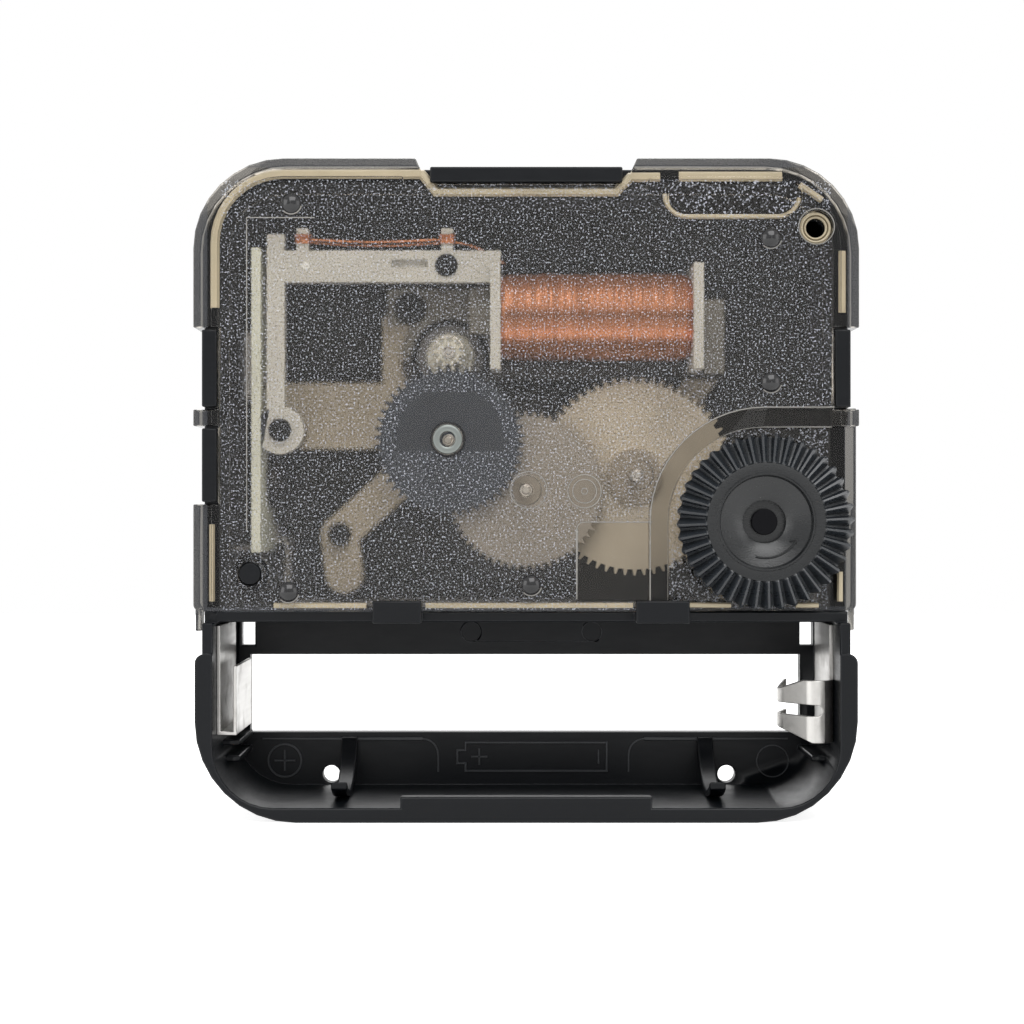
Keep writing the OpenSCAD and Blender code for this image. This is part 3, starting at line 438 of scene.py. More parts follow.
def smoky(look):
    """Smoke-brown clear plastic, its grained face sown with bright grains. Lamps pass through."""
    material, tree, glass, output = new_material("smoky_cover")
    outward = math_of(tree, "SUBTRACT", 1.0, tree.nodes.new("ShaderNodeNewGeometry").outputs["Backfacing"])
    place = object_place(tree)
    field = math_of(tree, "MULTIPLY", grained_field(tree), outward)
    fine = noise_of(tree, place, look.grain_scale, 2.0, 0.6)

    slow = ramp_of(tree, noise_of(tree, place, COVER_TONE_SCALE, 3.0), 0.3, 0.7)
    body = mix_of(tree, slow, look.tint, tuple(0.92 * c for c in look.tint))
    body = mix_of(tree, math_of(tree, "MULTIPLY", pocket_band(tree), 0.4), body, look.border)
    specks = math_of(tree, "MULTIPLY", ramp_of(tree, fine, 0.38, 0.47, 0.62, 0.0), field)
    body = mix_of(tree, specks, body, look.border)
    border = math_of(tree, "SUBTRACT", 1.0, box_mask(tree, CLEAR_BOX))
    wire(tree, glass.inputs["Base Color"], mix_of(tree, border, body, look.border))
    wire(tree, glass.inputs["Roughness"], math_of(tree, "MULTIPLY_ADD", field, 0.03, 0.02))
    depth = math_of(tree, "MULTIPLY", field, look.grain_depth)
    wire(tree, glass.inputs["Normal"], bump_of(tree, fine, depth, GRAIN_BUMP))
    glass.inputs["IOR"].default_value = COVER_IOR
    glass.inputs["Specular IOR Level"].default_value = COVER_SHINE
    glass.inputs["Transmission Weight"].default_value = COVER_CLEAR

    frost = tree.nodes.new("ShaderNodeBsdfDiffuse")
    wire(tree, frost.inputs["Color"], (*look.spark_colour, 1))
    grains = math_of(tree, "MULTIPLY", ramp_of(tree, fine, 0.55, 0.66), look.spark_share)
    milky = math_of(tree, "MULTIPLY", border, math_of(tree, "MULTIPLY", outward, look.haze))
    frosted = math_of(tree, "MAXIMUM", math_of(tree, "MULTIPLY", grains, field), milky)
    seen = mix_shaders(tree, frosted, glass.outputs[0], frost.outputs[0])

    clear = tree.nodes.new("ShaderNodeBsdfTransparent")
    wire(tree, clear.inputs["Color"], mix_of(tree, math_of(tree, "MULTIPLY", outward, 0.3), WHITE, look.tint))
    path = tree.nodes.new("ShaderNodeLightPath")
    lamplight = math_of(tree, "MAXIMUM", path.outputs["Is Shadow Ray"], path.outputs["Is Diffuse Ray"])
    tree.links.new(mix_shaders(tree, lamplight, seen, clear.outputs[0]), output.inputs["Surface"])
    return material


# Mesh helpers

# An edge is rounded from this turn on, and two sharp edges run on when they are this straight
SHARP_TURN, STRAIGHT_ON = math.radians(40), -0.8
# The share of the room beside an edge that its rounding takes: by a sharp edge, and by a plain one
SHARED_ROOM, OPEN_ROOM = 0.42, 0.8
# Across a face: the share of the way, the reach in widths, and how much longer the way round has to be
ACROSS_ROOM, ACROSS_REACH, WAY_ROUND = 0.4, 2.5, 1.6
# A face is crossed when its triangles cover this much more than it does, beyond a tiny area
CROSSED_SHARE, CROSSED_AREA = 1.01, 2e-9
# Rounds of taking roundings off, and their reach in widths
CALM_ROUNDS, CALM_REACH = 5, 1.6
# Points of the CAD's mesh are joined over this gap, and its faces over this turn
JOIN_GAP, FLAT_TURN = 1e-6, math.radians(1.0)
# The turn in degrees from which an edge of a dressed node is drawn sharp
DRESSED_SHARP = 30


def add_piece(name, verts, faces, material, body, slot=None, sharp=35):
    """A new piece from points and faces, with its faces turned outwards."""
    mesh = bpy.data.meshes.new(name)
    mesh.from_pydata([tuple(v) for v in verts], [], faces)
    solid = bmesh.new()
    solid.from_mesh(mesh)
    bmesh.ops.recalc_face_normals(solid, faces=solid.faces)
    solid.to_mesh(mesh)
    solid.free()
    return finish_piece(name, mesh, material, body, slot, sharp)


def finish_piece(name, mesh, material, body, slot, sharp):
    """Makes a piece of a mesh, smooth but for its sharp edges, and lets it ride on a body."""
    mesh.materials.clear()
    mesh.materials.append(material)
    mesh.shade_smooth()
    mesh.set_sharp_from_angle(angle=math.radians(sharp))
    piece = bpy.data.objects.new(name, mesh)
    bpy.context.scene.collection.objects.link(piece)
    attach(piece, body)
    return piece


def face_room(face, sharp, reach):
    """For a face's sharp edges, the distance to parts of its outline across from them, where that is near."""
    points = numpy.array([vert.co for vert in face.verts])
    edges = [loop.edge for loop in face.loops]
    after = numpy.roll(points, -1, 0)
    steps = numpy.linalg.norm(after - points, axis=1)
    start, total = numpy.concatenate(([0.0], numpy.cumsum(steps)[:-1])), steps.sum()
    for i, edge in enumerate(edges):
        if edge not in sharp or steps[i] == 0:
            continue
        way = after[i] - points[i]
        share = numpy.clip((points - points[i]) @ way / steps[i] ** 2, 0, 1)
        away = numpy.linalg.norm(points - points[i] - share[:, None] * way, axis=1)
        round_to = numpy.minimum((start - start[i] - steps[i]) % total, (start[i] - start) % total)
        across = (away < reach) & (round_to > WAY_ROUND * away)
        across[[i, (i + 1) % len(edges)]] = False
        for j in numpy.flatnonzero(across):
            for near in (edge, edges[j], edges[j - 1]):
                yield near, ACROSS_ROOM * away[j]


def weigh_edges(solid, width):
    """Bevel weights that round each sharp outer edge as far as what is beside it leaves room."""
    layer = solid.edges.layers.float.new("bevel_weight_edge")
    sharp = {edge for edge in solid.edges if edge.is_convex and edge.calc_face_angle(0.0) > SHARP_TURN}
    rooms = {}
    for edge in sharp:
        room = edge.calc_length() * 2
        for vert in edge.verts:
            along = (edge.other_vert(vert).co - vert.co).normalized()
            for beside in vert.link_edges:
                way = (beside.other_vert(vert).co - vert.co).normalized()
                if beside is edge or beside in sharp and way.dot(along) < STRAIGHT_ON:
                    continue
                across = math.sqrt(max(0.0, 1.0 - way.dot(along) ** 2))
                share = SHARED_ROOM if beside in sharp else OPEN_ROOM
                room = min(room, beside.calc_length() * across * share)
        rooms[edge] = room
    for face in solid.faces:
        if len(face.verts) > 5:
            for edge, room in face_room(face, sharp, ACROSS_REACH * width):
                if edge in rooms:
                    rooms[edge] = min(rooms[edge], room)
    for edge, room in rooms.items():
        edge[layer] = min(1.0, room / width)


def add_bevel(piece, width, segments):
    """Rounds the weighted edges, and keeps the flat faces flat to the eye."""
    bevel = piece.modifiers.new("Rounded edges", "BEVEL")
    bevel.width = width
    bevel.segments = segments
    bevel.limit_method = "WEIGHT"
    bevel.use_clamp_overlap = False
    bevel.loop_slide = False
    flat = piece.modifiers.new("Flat faces", "WEIGHTED_NORMAL")
    flat.keep_sharp = True
    flat.weight = 100


def open_rings(solid):
    """Cuts each face round a hole in two, because a face that meets itself is drawn across the hole."""
    for edge in list(solid.edges):
        loops = list(edge.link_loops)
        if len(loops) != 2 or loops[0].face is not loops[1].face:
            continue
        ring = list(loops[0].face.loops)
        i, j = sorted(ring.index(loop) for loop in loops)
        inner, outer = ring[i + 2:j], ring[j + 2:] + ring[:i]
        if inner and outer:
            near = inner[len(inner) // 2].vert
            far = min((loop.vert for loop in outer), key=lambda vert: (vert.co - near.co).length)
            bmesh.utils.face_split(loops[0].face, near, far)


def calm_edges(piece, width):
    """Takes the rounding off the edges of faces that cross themselves once they are rounded."""
    weights = piece.data.attributes["bevel_weight_edge"].data
    points = [vert.co for vert in piece.data.vertices]
    for _ in range(CALM_ROUNDS):
        view = piece.evaluated_get(bpy.context.evaluated_depsgraph_get())
        mesh = view.to_mesh()
        mesh.calc_loop_triangles()
        drawn = [0.0] * len(mesh.polygons)
        for triangle in mesh.loop_triangles:
            drawn[triangle.polygon_index] += triangle.area
        crossed = [[mesh.vertices[i].co.copy() for i in face.vertices] for face in mesh.polygons
                   if drawn[face.index] > CROSSED_SHARE * face.area + CROSSED_AREA]
        view.to_mesh_clear()
        if not crossed:
            break
        for outline in crossed:
            tree = KDTree(len(outline))
            for i, point in enumerate(outline):
                tree.insert(point, i)
            tree.balance()
            near = {i for i, point in enumerate(points) if tree.find(point)[2] < CALM_REACH * width}
            for edge in piece.data.edges:
                if edge.vertices[0] in near and edge.vertices[1] in near:
                    weights[edge.index].value = 0.0
        piece.data.update()


def dressed(node, body, material, slot, bevel, segments=2):
    """The CAD node's own shape as a new piece, with rounded edges, in the node's place."""
    solid = bmesh.new()
    solid.from_mesh(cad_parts[node].data)
    bmesh.ops.remove_doubles(solid, verts=solid.verts, dist=JOIN_GAP)
    bmesh.ops.dissolve_limit(solid, angle_limit=FLAT_TURN, verts=solid.verts, edges=solid.edges)
    open_rings(solid)
    weigh_edges(solid, bevel * MM)
    mesh = bpy.data.meshes.new("dressed_" + node)
    solid.to_mesh(mesh)
    solid.free()
    piece = finish_piece("dressed_" + node, mesh, material, body, slot, DRESSED_SHARP)
    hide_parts(node)
    add_bevel(piece, bevel * MM, segments)
    calm_edges(piece, bevel * MM)


def turned(profile_at, segments, place):
    """A closed profile carried round an axis. profile_at(k) gives (radius, height) pairs for turn step k."""
    rings = [profile_at(k) for k in range(segments)]
    count = len(rings[0])
    verts = [place(r, s, math.tau * k / segments) for k, ring in enumerate(rings) for r, s in ring]
    faces = []
    for k in range(segments):
        near, far = k * count, (k + 1) % segments * count
        for i in range(count):
            j = (i + 1) % count
            faces.append((near + i, near + j, far + j, far + i))
    return verts, faces


def about_w(axis, base=0.0):
    """Places turned points about an axis along w."""
    return lambda r, s, angle: at(*polar(r, angle, axis), base + s)


def lathed(profile, segments, axis, base):
    """The same closed profile all the way round an axis along w, its heights counted from a base."""
    return turned(lambda k: profile, segments, about_w(axis, base))


# How far a ridge reaches into the face that it stands on, and half its crown as a share of its width
RIDGE_ROOT, RIDGE_CROWN = 0.05, 0.28
# A ridge's corner is drawn out no further than this share allows
RIDGE_MITRE = 0.4


def raised_path(points, width, height, base, closed=False):
    """A low ridge with sloping sides that follows points (u, v) on a face at height base."""
    count = len(points)
    verts, faces = [], []
    for i, (u, v) in enumerate(points):
        before = points[i - 1] if closed or i else (2 * u - points[1][0], 2 * v - points[1][1])
        more = closed or i < count - 1
        after = points[(i + 1) % count] if more else (2 * u - points[i - 1][0], 2 * v - points[i - 1][1])
        into = Vector((u - before[0], v - before[1])).normalized()
        out = Vector((after[0] - u, after[1] - v)).normalized()
        along = (into + out).normalized()
        side = Vector((-along.y, along.x)) / max(RIDGE_MITRE, along.dot(out))
        for share, level in ((-0.5, -RIDGE_ROOT), (-RIDGE_CROWN, height), (RIDGE_CROWN, height),
                             (0.5, -RIDGE_ROOT)):
            verts.append(at(u + side.x * share * width, v + side.y * share * width, base + level))
    for i in range(count if closed else count - 1):
        near, far = 4 * i, 4 * ((i + 1) % count)
        faces += [(near + j, near + (j + 1) % 4, far + (j + 1) % 4, far + j) for j in range(4)]
    if not closed:
        last = 4 * (count - 1)
        faces += [(0, 1, 2, 3), (last + 3, last + 2, last + 1, last)]
    return verts, faces


def arc(centre, radius, start, end, steps):
    """Points (u, v) along an arc, in degrees."""
    return [polar(radius, math.radians(start + (end - start) * i / steps), centre) for i in range(steps + 1)]


def circle(centre, radius):
    """Points (u, v) round a circle, for a closed path."""
    return arc(centre, radius, 0, 348, 30)


def joined(*parts):
    """Several (verts, faces) as one."""
    verts, faces = [], []
    for some_verts, some_faces in parts:
        start = len(verts)
        verts += some_verts
        faces += [tuple(start + i for i in face) for face in some_faces]
    return verts, faces


def tube(points, radius, sides=10):
    """A round wire through points in the frame, with closed ends."""
    verts, faces = [], []
    side = Vector((0, 1, 0))
    for i, point in enumerate(points):
        along = (points[min(i + 1, len(points) - 1)] - points[max(i - 1, 0)]).normalized()
        side = (side - along * side.dot(along)).normalized()
        other = along.cross(side)
        for k in range(sides):
            angle = math.tau * k / sides
            verts.append(point + (side * math.cos(angle) + other * math.sin(angle)) * radius * MM)
    for i in range(len(points) - 1):
        for k in range(sides):
            m = (k + 1) % sides
            faces.append((i * sides + k, i * sides + m, (i + 1) * sides + m, (i + 1) * sides + k))
    faces.append(tuple(range(sides - 1, -1, -1)))
    faces.append(tuple((len(points) - 1) * sides + k for k in range(sides)))
    return verts, faces


# Settings

def colour_setting(label, words, default):
    """A colour that a user can change."""
    return FloatVectorProperty(name=label, description=words, subtype="COLOR", size=3, min=0, max=1,
                               default=default)


def share_setting(label, words, default):
    """A share from 0 to 1 that a user can change."""
    return FloatProperty(name=label, description=words, subtype="FACTOR", min=0, max=1, default=default)


class CaseLook(bpy.types.PropertyGroup):
    """Finish of the black case."""
    colour: colour_setting("Case", "Colour of the black case", (0.003, 0.0038, 0.0052))
    # The marks are drawn paler than the case, a painted highlight where they catch light
    marks: colour_setting("Marks", "Colour of the marks in the bay, which catch light", (0.035, 0.038, 0.042))
    roughness: share_setting("Roughness", "How dull the case is", 0.36)
    edge: FloatProperty(name="Edge radius", description="Rounding of the case's edges in millimetres",
                        min=0.02, max=0.3, default=0.13)


class CoverLook(bpy.types.PropertyGroup):
    """Finish of the smoky cover."""
    tint: colour_setting("Tint", "Colour of the light that passes", (0.74, 0.70, 0.64))
    border: colour_setting("Border", "Colour of the light that passes the border", (0.19, 0.18, 0.16))
    spark_colour: colour_setting("Sparks", "Colour of the bright grains", (0.74, 0.77, 0.86))
    grain_scale: FloatProperty(name="Grain", description="Grains along a metre, roughly", min=500,
                               default=6200.0)
    grain_depth: share_setting("Grain depth", "How strongly the grain bends light", 0.5)
    spark_share: share_setting("Grain share", "How well the grains cover what is behind them", 0.6)
    haze: share_setting("Haze", "How milky the border is", 0.06)
    # The lit edge and the glints are painted highlight: pale strips where the cover's edges catch the light
    lit_edge: colour_setting("Lit edge", "Colour of the edge that catches the light", (0.50, 0.43, 0.30))
    glint: colour_setting("Glints", "Colour of the fine lines that catch the light", (0.30, 0.29, 0.27))


class WorksLook(bpy.types.PropertyGroup):
    """Colours of the works."""
    plate: colour_setting("Middle plate", "Colour of the middle plate", (0.50, 0.44, 0.34))
    cream: colour_setting("Third wheel", "Colour of the third wheel", (0.62, 0.555, 0.45))
    grey: colour_setting("Seconds wheel", "Colour of the seconds wheel", (0.34, 0.31, 0.27))
    bobbin: colour_setting("Bobbin", "Colour of the coil's bobbin", (0.62, 0.61, 0.57))
    blue_grey: colour_setting("Intermediate wheel", "Colour of the intermediate wheel",
                              (0.030, 0.040, 0.060))
    pale: colour_setting("Rotor pinion", "Colour of the rotor's pinion", (0.70, 0.68, 0.60))
    acetal: colour_setting("Black wheels", "Colour of the wheels behind the plate", (0.016, 0.016, 0.018))
    copper: colour_setting("Copper", "Colour of the winding", (0.62, 0.27, 0.14))
    board: colour_setting("Circuit board", "Colour of the board's edge", (0.74, 0.76, 0.66))
    turns: IntProperty(name="Turns", description="Turns of wire drawn along the winding", min=20, max=200,
                       default=82)


class MetalLook(bpy.types.PropertyGroup):
    """Colours of the metals."""
    nickel: colour_setting("Contacts", "Colour of the nickel plating", (0.50, 0.49, 0.47))
    iron: colour_setting("Core", "Colour of the soft iron", (0.20, 0.195, 0.18))
    # The stator under the coil is painted darker than the core, as painted shade from the coil
    shaded_iron: colour_setting("Stator", "Colour of the iron under the coil", (0.05, 0.05, 0.052))
    steel: colour_setting("Arbors", "Colour of the arbors", (0.62, 0.62, 0.63))
    brass: colour_setting("Bushing", "Colour of the threaded bushing", (0.83, 0.62, 0.28))
    pitch: FloatProperty(name="Thread pitch", description="Pitch of the bushing's thread in millimetres",
                         min=0.4, max=1.25, default=0.75)


class KnobLook(bpy.types.PropertyGroup):
    """Shape and finish of the setting knob."""
    colour: colour_setting("Knob", "Colour of the knob", (0.004, 0.005, 0.006))
    # The teeth are lighter than the rest of the knob, a painted reflection of the soft lamps
    teeth_sheen: colour_setting("Teeth", "Colour of the knob's teeth", (0.017, 0.020, 0.024))
    teeth: IntProperty(name="Teeth", description="Grip teeth round the knob", min=12, max=80, default=40)
    depth: FloatProperty(name="Groove", description="Depth of the grooves in millimetres", min=0.2, max=1.2,
                         default=0.95)


class StageLook(bpy.types.PropertyGroup):
    """Light and camera."""
    ambient: FloatProperty(name="Ambient", description="Level of the light from all round", min=0,
                           default=0.40)
    key: FloatProperty(name="Key", description="Power of the large lamp above", min=0, default=1.05)
    fill: FloatProperty(name="Fill", description="Power of the lamp at the left", min=0, default=0.45)
    lens: FloatProperty(name="Lens", description="Focal length on a 36 mm sensor", min=20, default=64.85)
    distance: FloatProperty(name="Camera distance", description="From the dial face to the camera",
                            subtype="DISTANCE", min=0.05, default=0.170)


LOOKS = {"case": CaseLook, "cover": CoverLook, "works": WorksLook, "metal": MetalLook, "knob": KnobLook,
         "stage": StageLook}


def look_of(context, name):
    """The settings of one part of the movement."""
    return getattr(context.scene, "movement_" + name)


# The case

# Marks on the bay's floor, and the battery's outline with its nub
MARK_WIDTH, MARK_HEIGHT = 0.2, 0.14
BATTERY_U, BATTERY_V, BATTERY_WIDTH = (-5.45, 7.45), (-25.5, -22.9), 0.22
NUB_HALF, NUB_LENGTH = 0.6, 0.75
# Each sign's distance from its end of the battery, and half its length
PLUS_IN, PLUS_HALF, MINUS_IN, MINUS_HALF = 1.25, 0.75, 0.75, 0.65
# Discs as (centre, radius, width, height), and the arm of the + in the first
PLUS_DISC, PLUS_ARM = ((-21.95, -24.55), 1.5, 0.2, 0.12), 0.95
PLAIN_DISC = ((22.6, -24.6), 1.45, 0.14, 0.08)
# Two pads that mirror each other but for their inner corners
PAD_OUT, PAD_TOP, PAD_LOW, PAD_CORNERS, PAD_R = 24.0, -22.55, -25.6, (-9.4, 10.9), 1.45
PAD_WIDTH, PAD_HEIGHT = 0.18, 0.1


def floor_mark(points, width=MARK_WIDTH, height=MARK_HEIGHT, closed=False):
    """A ridge on the bay's floor."""
    return raised_path(points, width, height, PLATE_TOP, closed)


def plus_mark(centre, arm):
    """A + on the bay's floor."""
    u, v = centre
    return joined(floor_mark([(u - arm, v), (u + arm, v)]), floor_mark([(u, v - arm), (u, v + arm)]))


def bay_marks():
    """Battery outline with + and -, the + disc, pad outlines and mould circles, all generic."""
    (left, right), (low, high) = BATTERY_U, BATTERY_V
    middle = (low + high) / 2
    tip, nub_low, nub_high = left - NUB_LENGTH, middle - NUB_HALF, middle + NUB_HALF
    outline = [(left, high), (right, high), (right, low), (left, low),
               (left, nub_low), (tip, nub_low), (tip, nub_high), (left, nub_high)]
    minus_u = right - MINUS_IN
    parts = [floor_mark(outline, BATTERY_WIDTH, closed=True), plus_mark((left + PLUS_IN, middle), PLUS_HALF),
             floor_mark([(minus_u, middle - MINUS_HALF), (minus_u, middle + MINUS_HALF)]),
             plus_mark(PLUS_DISC[0], PLUS_ARM)]
    for centre, radius, width, height in (PLUS_DISC, PLAIN_DISC):
        parts.append(floor_mark(arc(centre, radius, 0, 345, 36), width, height, closed=True))
    for side, corner in zip((-1, 1), PAD_CORNERS):
        turn = arc((corner, PAD_TOP - PAD_R), PAD_R, 90, 90 + side * 90, 6)
        line = [(side * PAD_OUT, PAD_TOP), (corner, PAD_TOP)] + turn + [(corner - side * PAD_R, PAD_LOW)]
        parts.append(floor_mark(line, PAD_WIDTH, PAD_HEIGHT))
    return joined(*parts)


class MOVEMENT_OT_case(bpy.types.Operator):
    """Front case with rounded edges, and the marks moulded in its battery bay"""
    bl_idname = "movement.case"
    bl_label = "Front case"

    def execute(self, context):
        look = look_of(context, "case")
        material = moulded("black_case", look.colour, look.roughness, grain=5200.0, depth=0.15, tone=0.5,
                           edge_sheen=0.22, shine=0.2)
        dressed("front_case", "case", material, "black_case", look.edge)
        # The marks' paler black is a painted highlight on their ridges
        marks = moulded("mark_black", look.marks, look.roughness, tone=0.8, edge_sheen=0.0, shine=0.4)
        add_piece("bay_marks", *bay_marks(), marks, "case", "black_case")
        return {"FINISHED"}


# The cover

# The edge that catches the light, drawn as a pale strip of painted highlight: its levels, its outline on the
# left and along the top
LIT_LOW, LIT_HIGH = 13.95, 14.3
LIT_U, LIT_V, LIT_R, SIDE_END_V, LIT_WIDTH = 26.3, 26.7, 5.8, 15.4, 0.8
# The notch in the top line, and the lower line on its right
NOTCH_U, NOTCH_FOOT_U, NOTCH_V, TOP_END_U, TOP_STEP = 8.8, 7.6, 25.2, 11.3, 0.25
# The tray at the top right, between the centres of its two corners
TRAY_U, TRAY_V, TRAY_R, TRAY_WIDTH = (13.6, 21.2), 25.0, 1.9, 0.4
# Straight stretches as (start, end, width)
LIT_STRETCHES = [((12.9, 26.5), (21.6, 26.5), 0.85), ((23.1, 25.8), (25.0, 24.5), 0.6),
                 ((26.7, 20.2), (26.7, 15.0), 0.65), ((-26.55, -2.9), (-26.55, -9.4), 0.5),
                 ((26.55, -6.9), (26.55, -9.4), 0.5)]
# The low line, open at the two latches and under the knob: its level, width and stretches along u
LOW_LIT_V, LOW_LIT_WIDTH = -9.75, 0.45
LOW_LIT_U = [(-21.3, -13.5), (-8.5, 9.0), (13.8, 17.3), (22.8, 24.7)]

# Fine lines of painted highlight on the face: the housing's, the small window's and the bosses' rings as
# (centre, radius)
GLINT_WIDTH, GLINT_HEIGHT = 0.1, 0.05
HOUSING_LINE = [(-23.5, -3.4), (-23.5, 22.9), (-17.8, 22.9)]
WINDOW_LOW, WINDOW_END, WINDOW_R = -9.2, 10.6, 0.6
BOSS_RINGS = [(SMALL_BOSS, 1.4), (SMALL_BOSS, 1.0), (SMALL_BOSS, 0.25), (SECONDS_BOSS, 1.55),
              (POST_HOLE, 1.5)]
# The pocket's lines: their ends at the right and below, and their width
POCKET_END_U, POCKET_END_V, POCKET_WIDTH = 25.9, -9.3, 0.12

# Turned pieces as (radius, height) pairs
DOME_PROFILE = [(0.02, 0.0), (0.02, 0.475), (0.2, 0.45), (0.4, 0.385), (0.6, 0.27), (0.76, 0.12), (0.85, 0.0)]
BORE_PROFILE = [(0.82, -0.85), (0.82, -0.6), (0.95, -0.5), (1.05, -0.75), (1.1, -0.45), (1.22, -0.4),
                (1.36, -0.85)]
EYELET_PROFILE = [(0.63, 0.0), (0.68, 0.14), (0.8, 0.2), (1.08, 0.2), (1.2, 0.14), (1.26, 0.0)]
HIGH_POST = (24.4, 22.1)
COVER_EDGE = 0.1
CRESCENT_R, CRESCENT_WIDTH, EYELET_RISE, RIM_R, RIM_WIDTH = 0.9, 0.12, 0.15, 1.38, 0.24
# Near-black painted shade for the clear cover's domes and the ring round the eyelet, and the eyelet's own
# colour
COVER_SHADE_COLOUR, EYELET_COLOUR = (0.012, 0.012, 0.013), (0.19, 0.205, 0.195)


def lit_lines():
    """Lines (u, v) of the painted highlight on the cover's edge that catches the light, each with its width.
    """
    corner = arc((-LIT_U + LIT_R, LIT_V - LIT_R), LIT_R, 180, 90, 10)
    notch = [(-NOTCH_U, LIT_V), (-NOTCH_FOOT_U, NOTCH_V), (NOTCH_FOOT_U, NOTCH_V)]
    right = [(NOTCH_U, LIT_V - TOP_STEP), (TOP_END_U, LIT_V - TOP_STEP)]
    tray = arc((TRAY_U[0], TRAY_V), TRAY_R, 180, 270, 6) + arc((TRAY_U[1], TRAY_V), TRAY_R, 270, 350, 6)
    return [([(-LIT_U, SIDE_END_V)] + corner + notch + right, LIT_WIDTH), (tray, TRAY_WIDTH),
            *(([start, end], width) for start, end, width in LIT_STRETCHES),
            *(([(start, LOW_LIT_V), (end, LOW_LIT_V)], LOW_LIT_WIDTH) for start, end in LOW_LIT_U)]


def window_line():
    """The left and upper edges of the small window."""
    u, v = SMALL_WINDOW[0] - SMALL_WINDOW[2], SMALL_WINDOW[1] + SMALL_WINDOW[3]
    corner = arc((u + WINDOW_R, v - WINDOW_R), WINDOW_R, 180, 90, 4)
    return [(u, WINDOW_LOW), (u, v - WINDOW_R)] + corner + [(WINDOW_END, v)]


def pocket_line(radius):
    """An outline of the knob's pocket with a corner of the given radius."""
    u, v = axis_of("setting_knob")
    corner = arc((u, v), radius, 180, 90, 14)
    return [(u - radius, POCKET_END_V)] + corner + [(POCKET_END_U, v + radius)]


def glint_shape():
    """Fine lines of painted highlight where edges of the cover catch the light: housing, window, pocket, boss
    rings.
    """
    return joined(
        *(raised_path(line, GLINT_WIDTH, GLINT_HEIGHT, BACK) for line in (HOUSING_LINE, window_line())),
        raised_path(pocket_line(POCKET_OUT), POCKET_WIDTH, 0.04, BACK),
        raised_path(pocket_line(POCKET_IN), POCKET_WIDTH, 0.06, POCKET_FLOOR),
        *(raised_path(circle(*ring), GLINT_WIDTH, GLINT_HEIGHT, BACK, closed=True) for ring in BOSS_RINGS))


def dome_shapes():
    """The low domes of the cover, which carry painted shade, and the crescent of painted highlight at the
    foot of each.
    """
    caps = [lathed(DOME_PROFILE, 24, centre, BACK) for centre in DOMES]
    feet = [arc(centre, CRESCENT_R, 225, 345, 12) for centre in DOMES]
    glints = [raised_path(foot, CRESCENT_WIDTH, GLINT_HEIGHT, BACK) for foot in feet]
    return joined(*caps), joined(*glints)


class MOVEMENT_OT_cover(bpy.types.Operator):
    """Smoky clear back cover with painted highlight on its lit edge and its ridges, painted shade on its
    domes, and the eyelet over the intermediate arbor
    """
    bl_idname = "movement.cover"
    bl_label = "Back cover"

    def execute(self, context):
        look = look_of(context, "cover")
        smoke = smoky(look)
        dressed("back_cover", "case", smoke, "smoky_cover", COVER_EDGE)
        # Painted highlight: a pale strip along the lit edge, and rings of the same in the post's bore
        lit = moulded("lit_edge", look.lit_edge, 0.5, grain=3000.0, depth=0.3, tone=0.6, edge_sheen=0.0)
        bands = [raised_path(line, width, LIT_HIGH - LIT_LOW, LIT_LOW) for line, width in lit_lines()]
        add_piece("cover_lit_edge", *joined(*bands), lit, "case", "smoky_cover")
        # Painted highlight: pale fine lines where edges catch the light, and the crescents at the domes' feet
        glint = moulded("edge_glint", look.glint, 0.25, tone=0.9, edge_sheen=0.0)
        add_piece("cover_glints", *glint_shape(), glint, "case", "smoky_cover")
        add_piece("bore_rings", *lathed(BORE_PROFILE, 40, HIGH_POST, BACK), lit, "case", "smoky_cover")
        domes, crescents = dome_shapes()
        # Painted shade: near-black caps on the clear domes, and a near-black ring round the eyelet
        dark = moulded("cover_shade_dark", COVER_SHADE_COLOUR, 0.12, tone=0.5, edge_sheen=0.0)
        add_piece("cover_domes", *domes, dark, "case", "smoky_cover")
        add_piece("dome_crescents", *crescents, glint, "case", "smoky_cover")
        steel = worked("eyelet", EYELET_COLOUR, 0.35, tarnish=0.15)
        axis = axis_of("intermediate_wheel")
        eyelet = lathed(EYELET_PROFILE, 48, axis, BACK + EYELET_RISE)
        add_piece("boss_eyelet", *eyelet, steel, "case", "arbor_steel")
        rim = raised_path(circle(axis, RIM_R), RIM_WIDTH, GLINT_HEIGHT, BACK, closed=True)
        add_piece("eyelet_rim", *rim, dark, "case", "smoky_cover")
        return {"FINISHED"}


# The works

# The post through the upper stator, and the collar round it as (radius, height) pairs
POST = (-10.2, 16.1)
COLLAR_PROFILE = [(0.95, -0.05), (0.95, 0.2), (1.1, 0.3), (1.3, 0.2), (1.5, -0.05)]
COLLAR_COLOUR = (0.006, 0.006, 0.007)
# Rounding of the edges of the plastic plate and of the iron, in millimetres
PLATE_EDGE, IRON_EDGE = 0.12, 0.07


def stator_level():
    """Height of the stator's upper face above the dial face."""
    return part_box("upper_stator")[1].y / MM


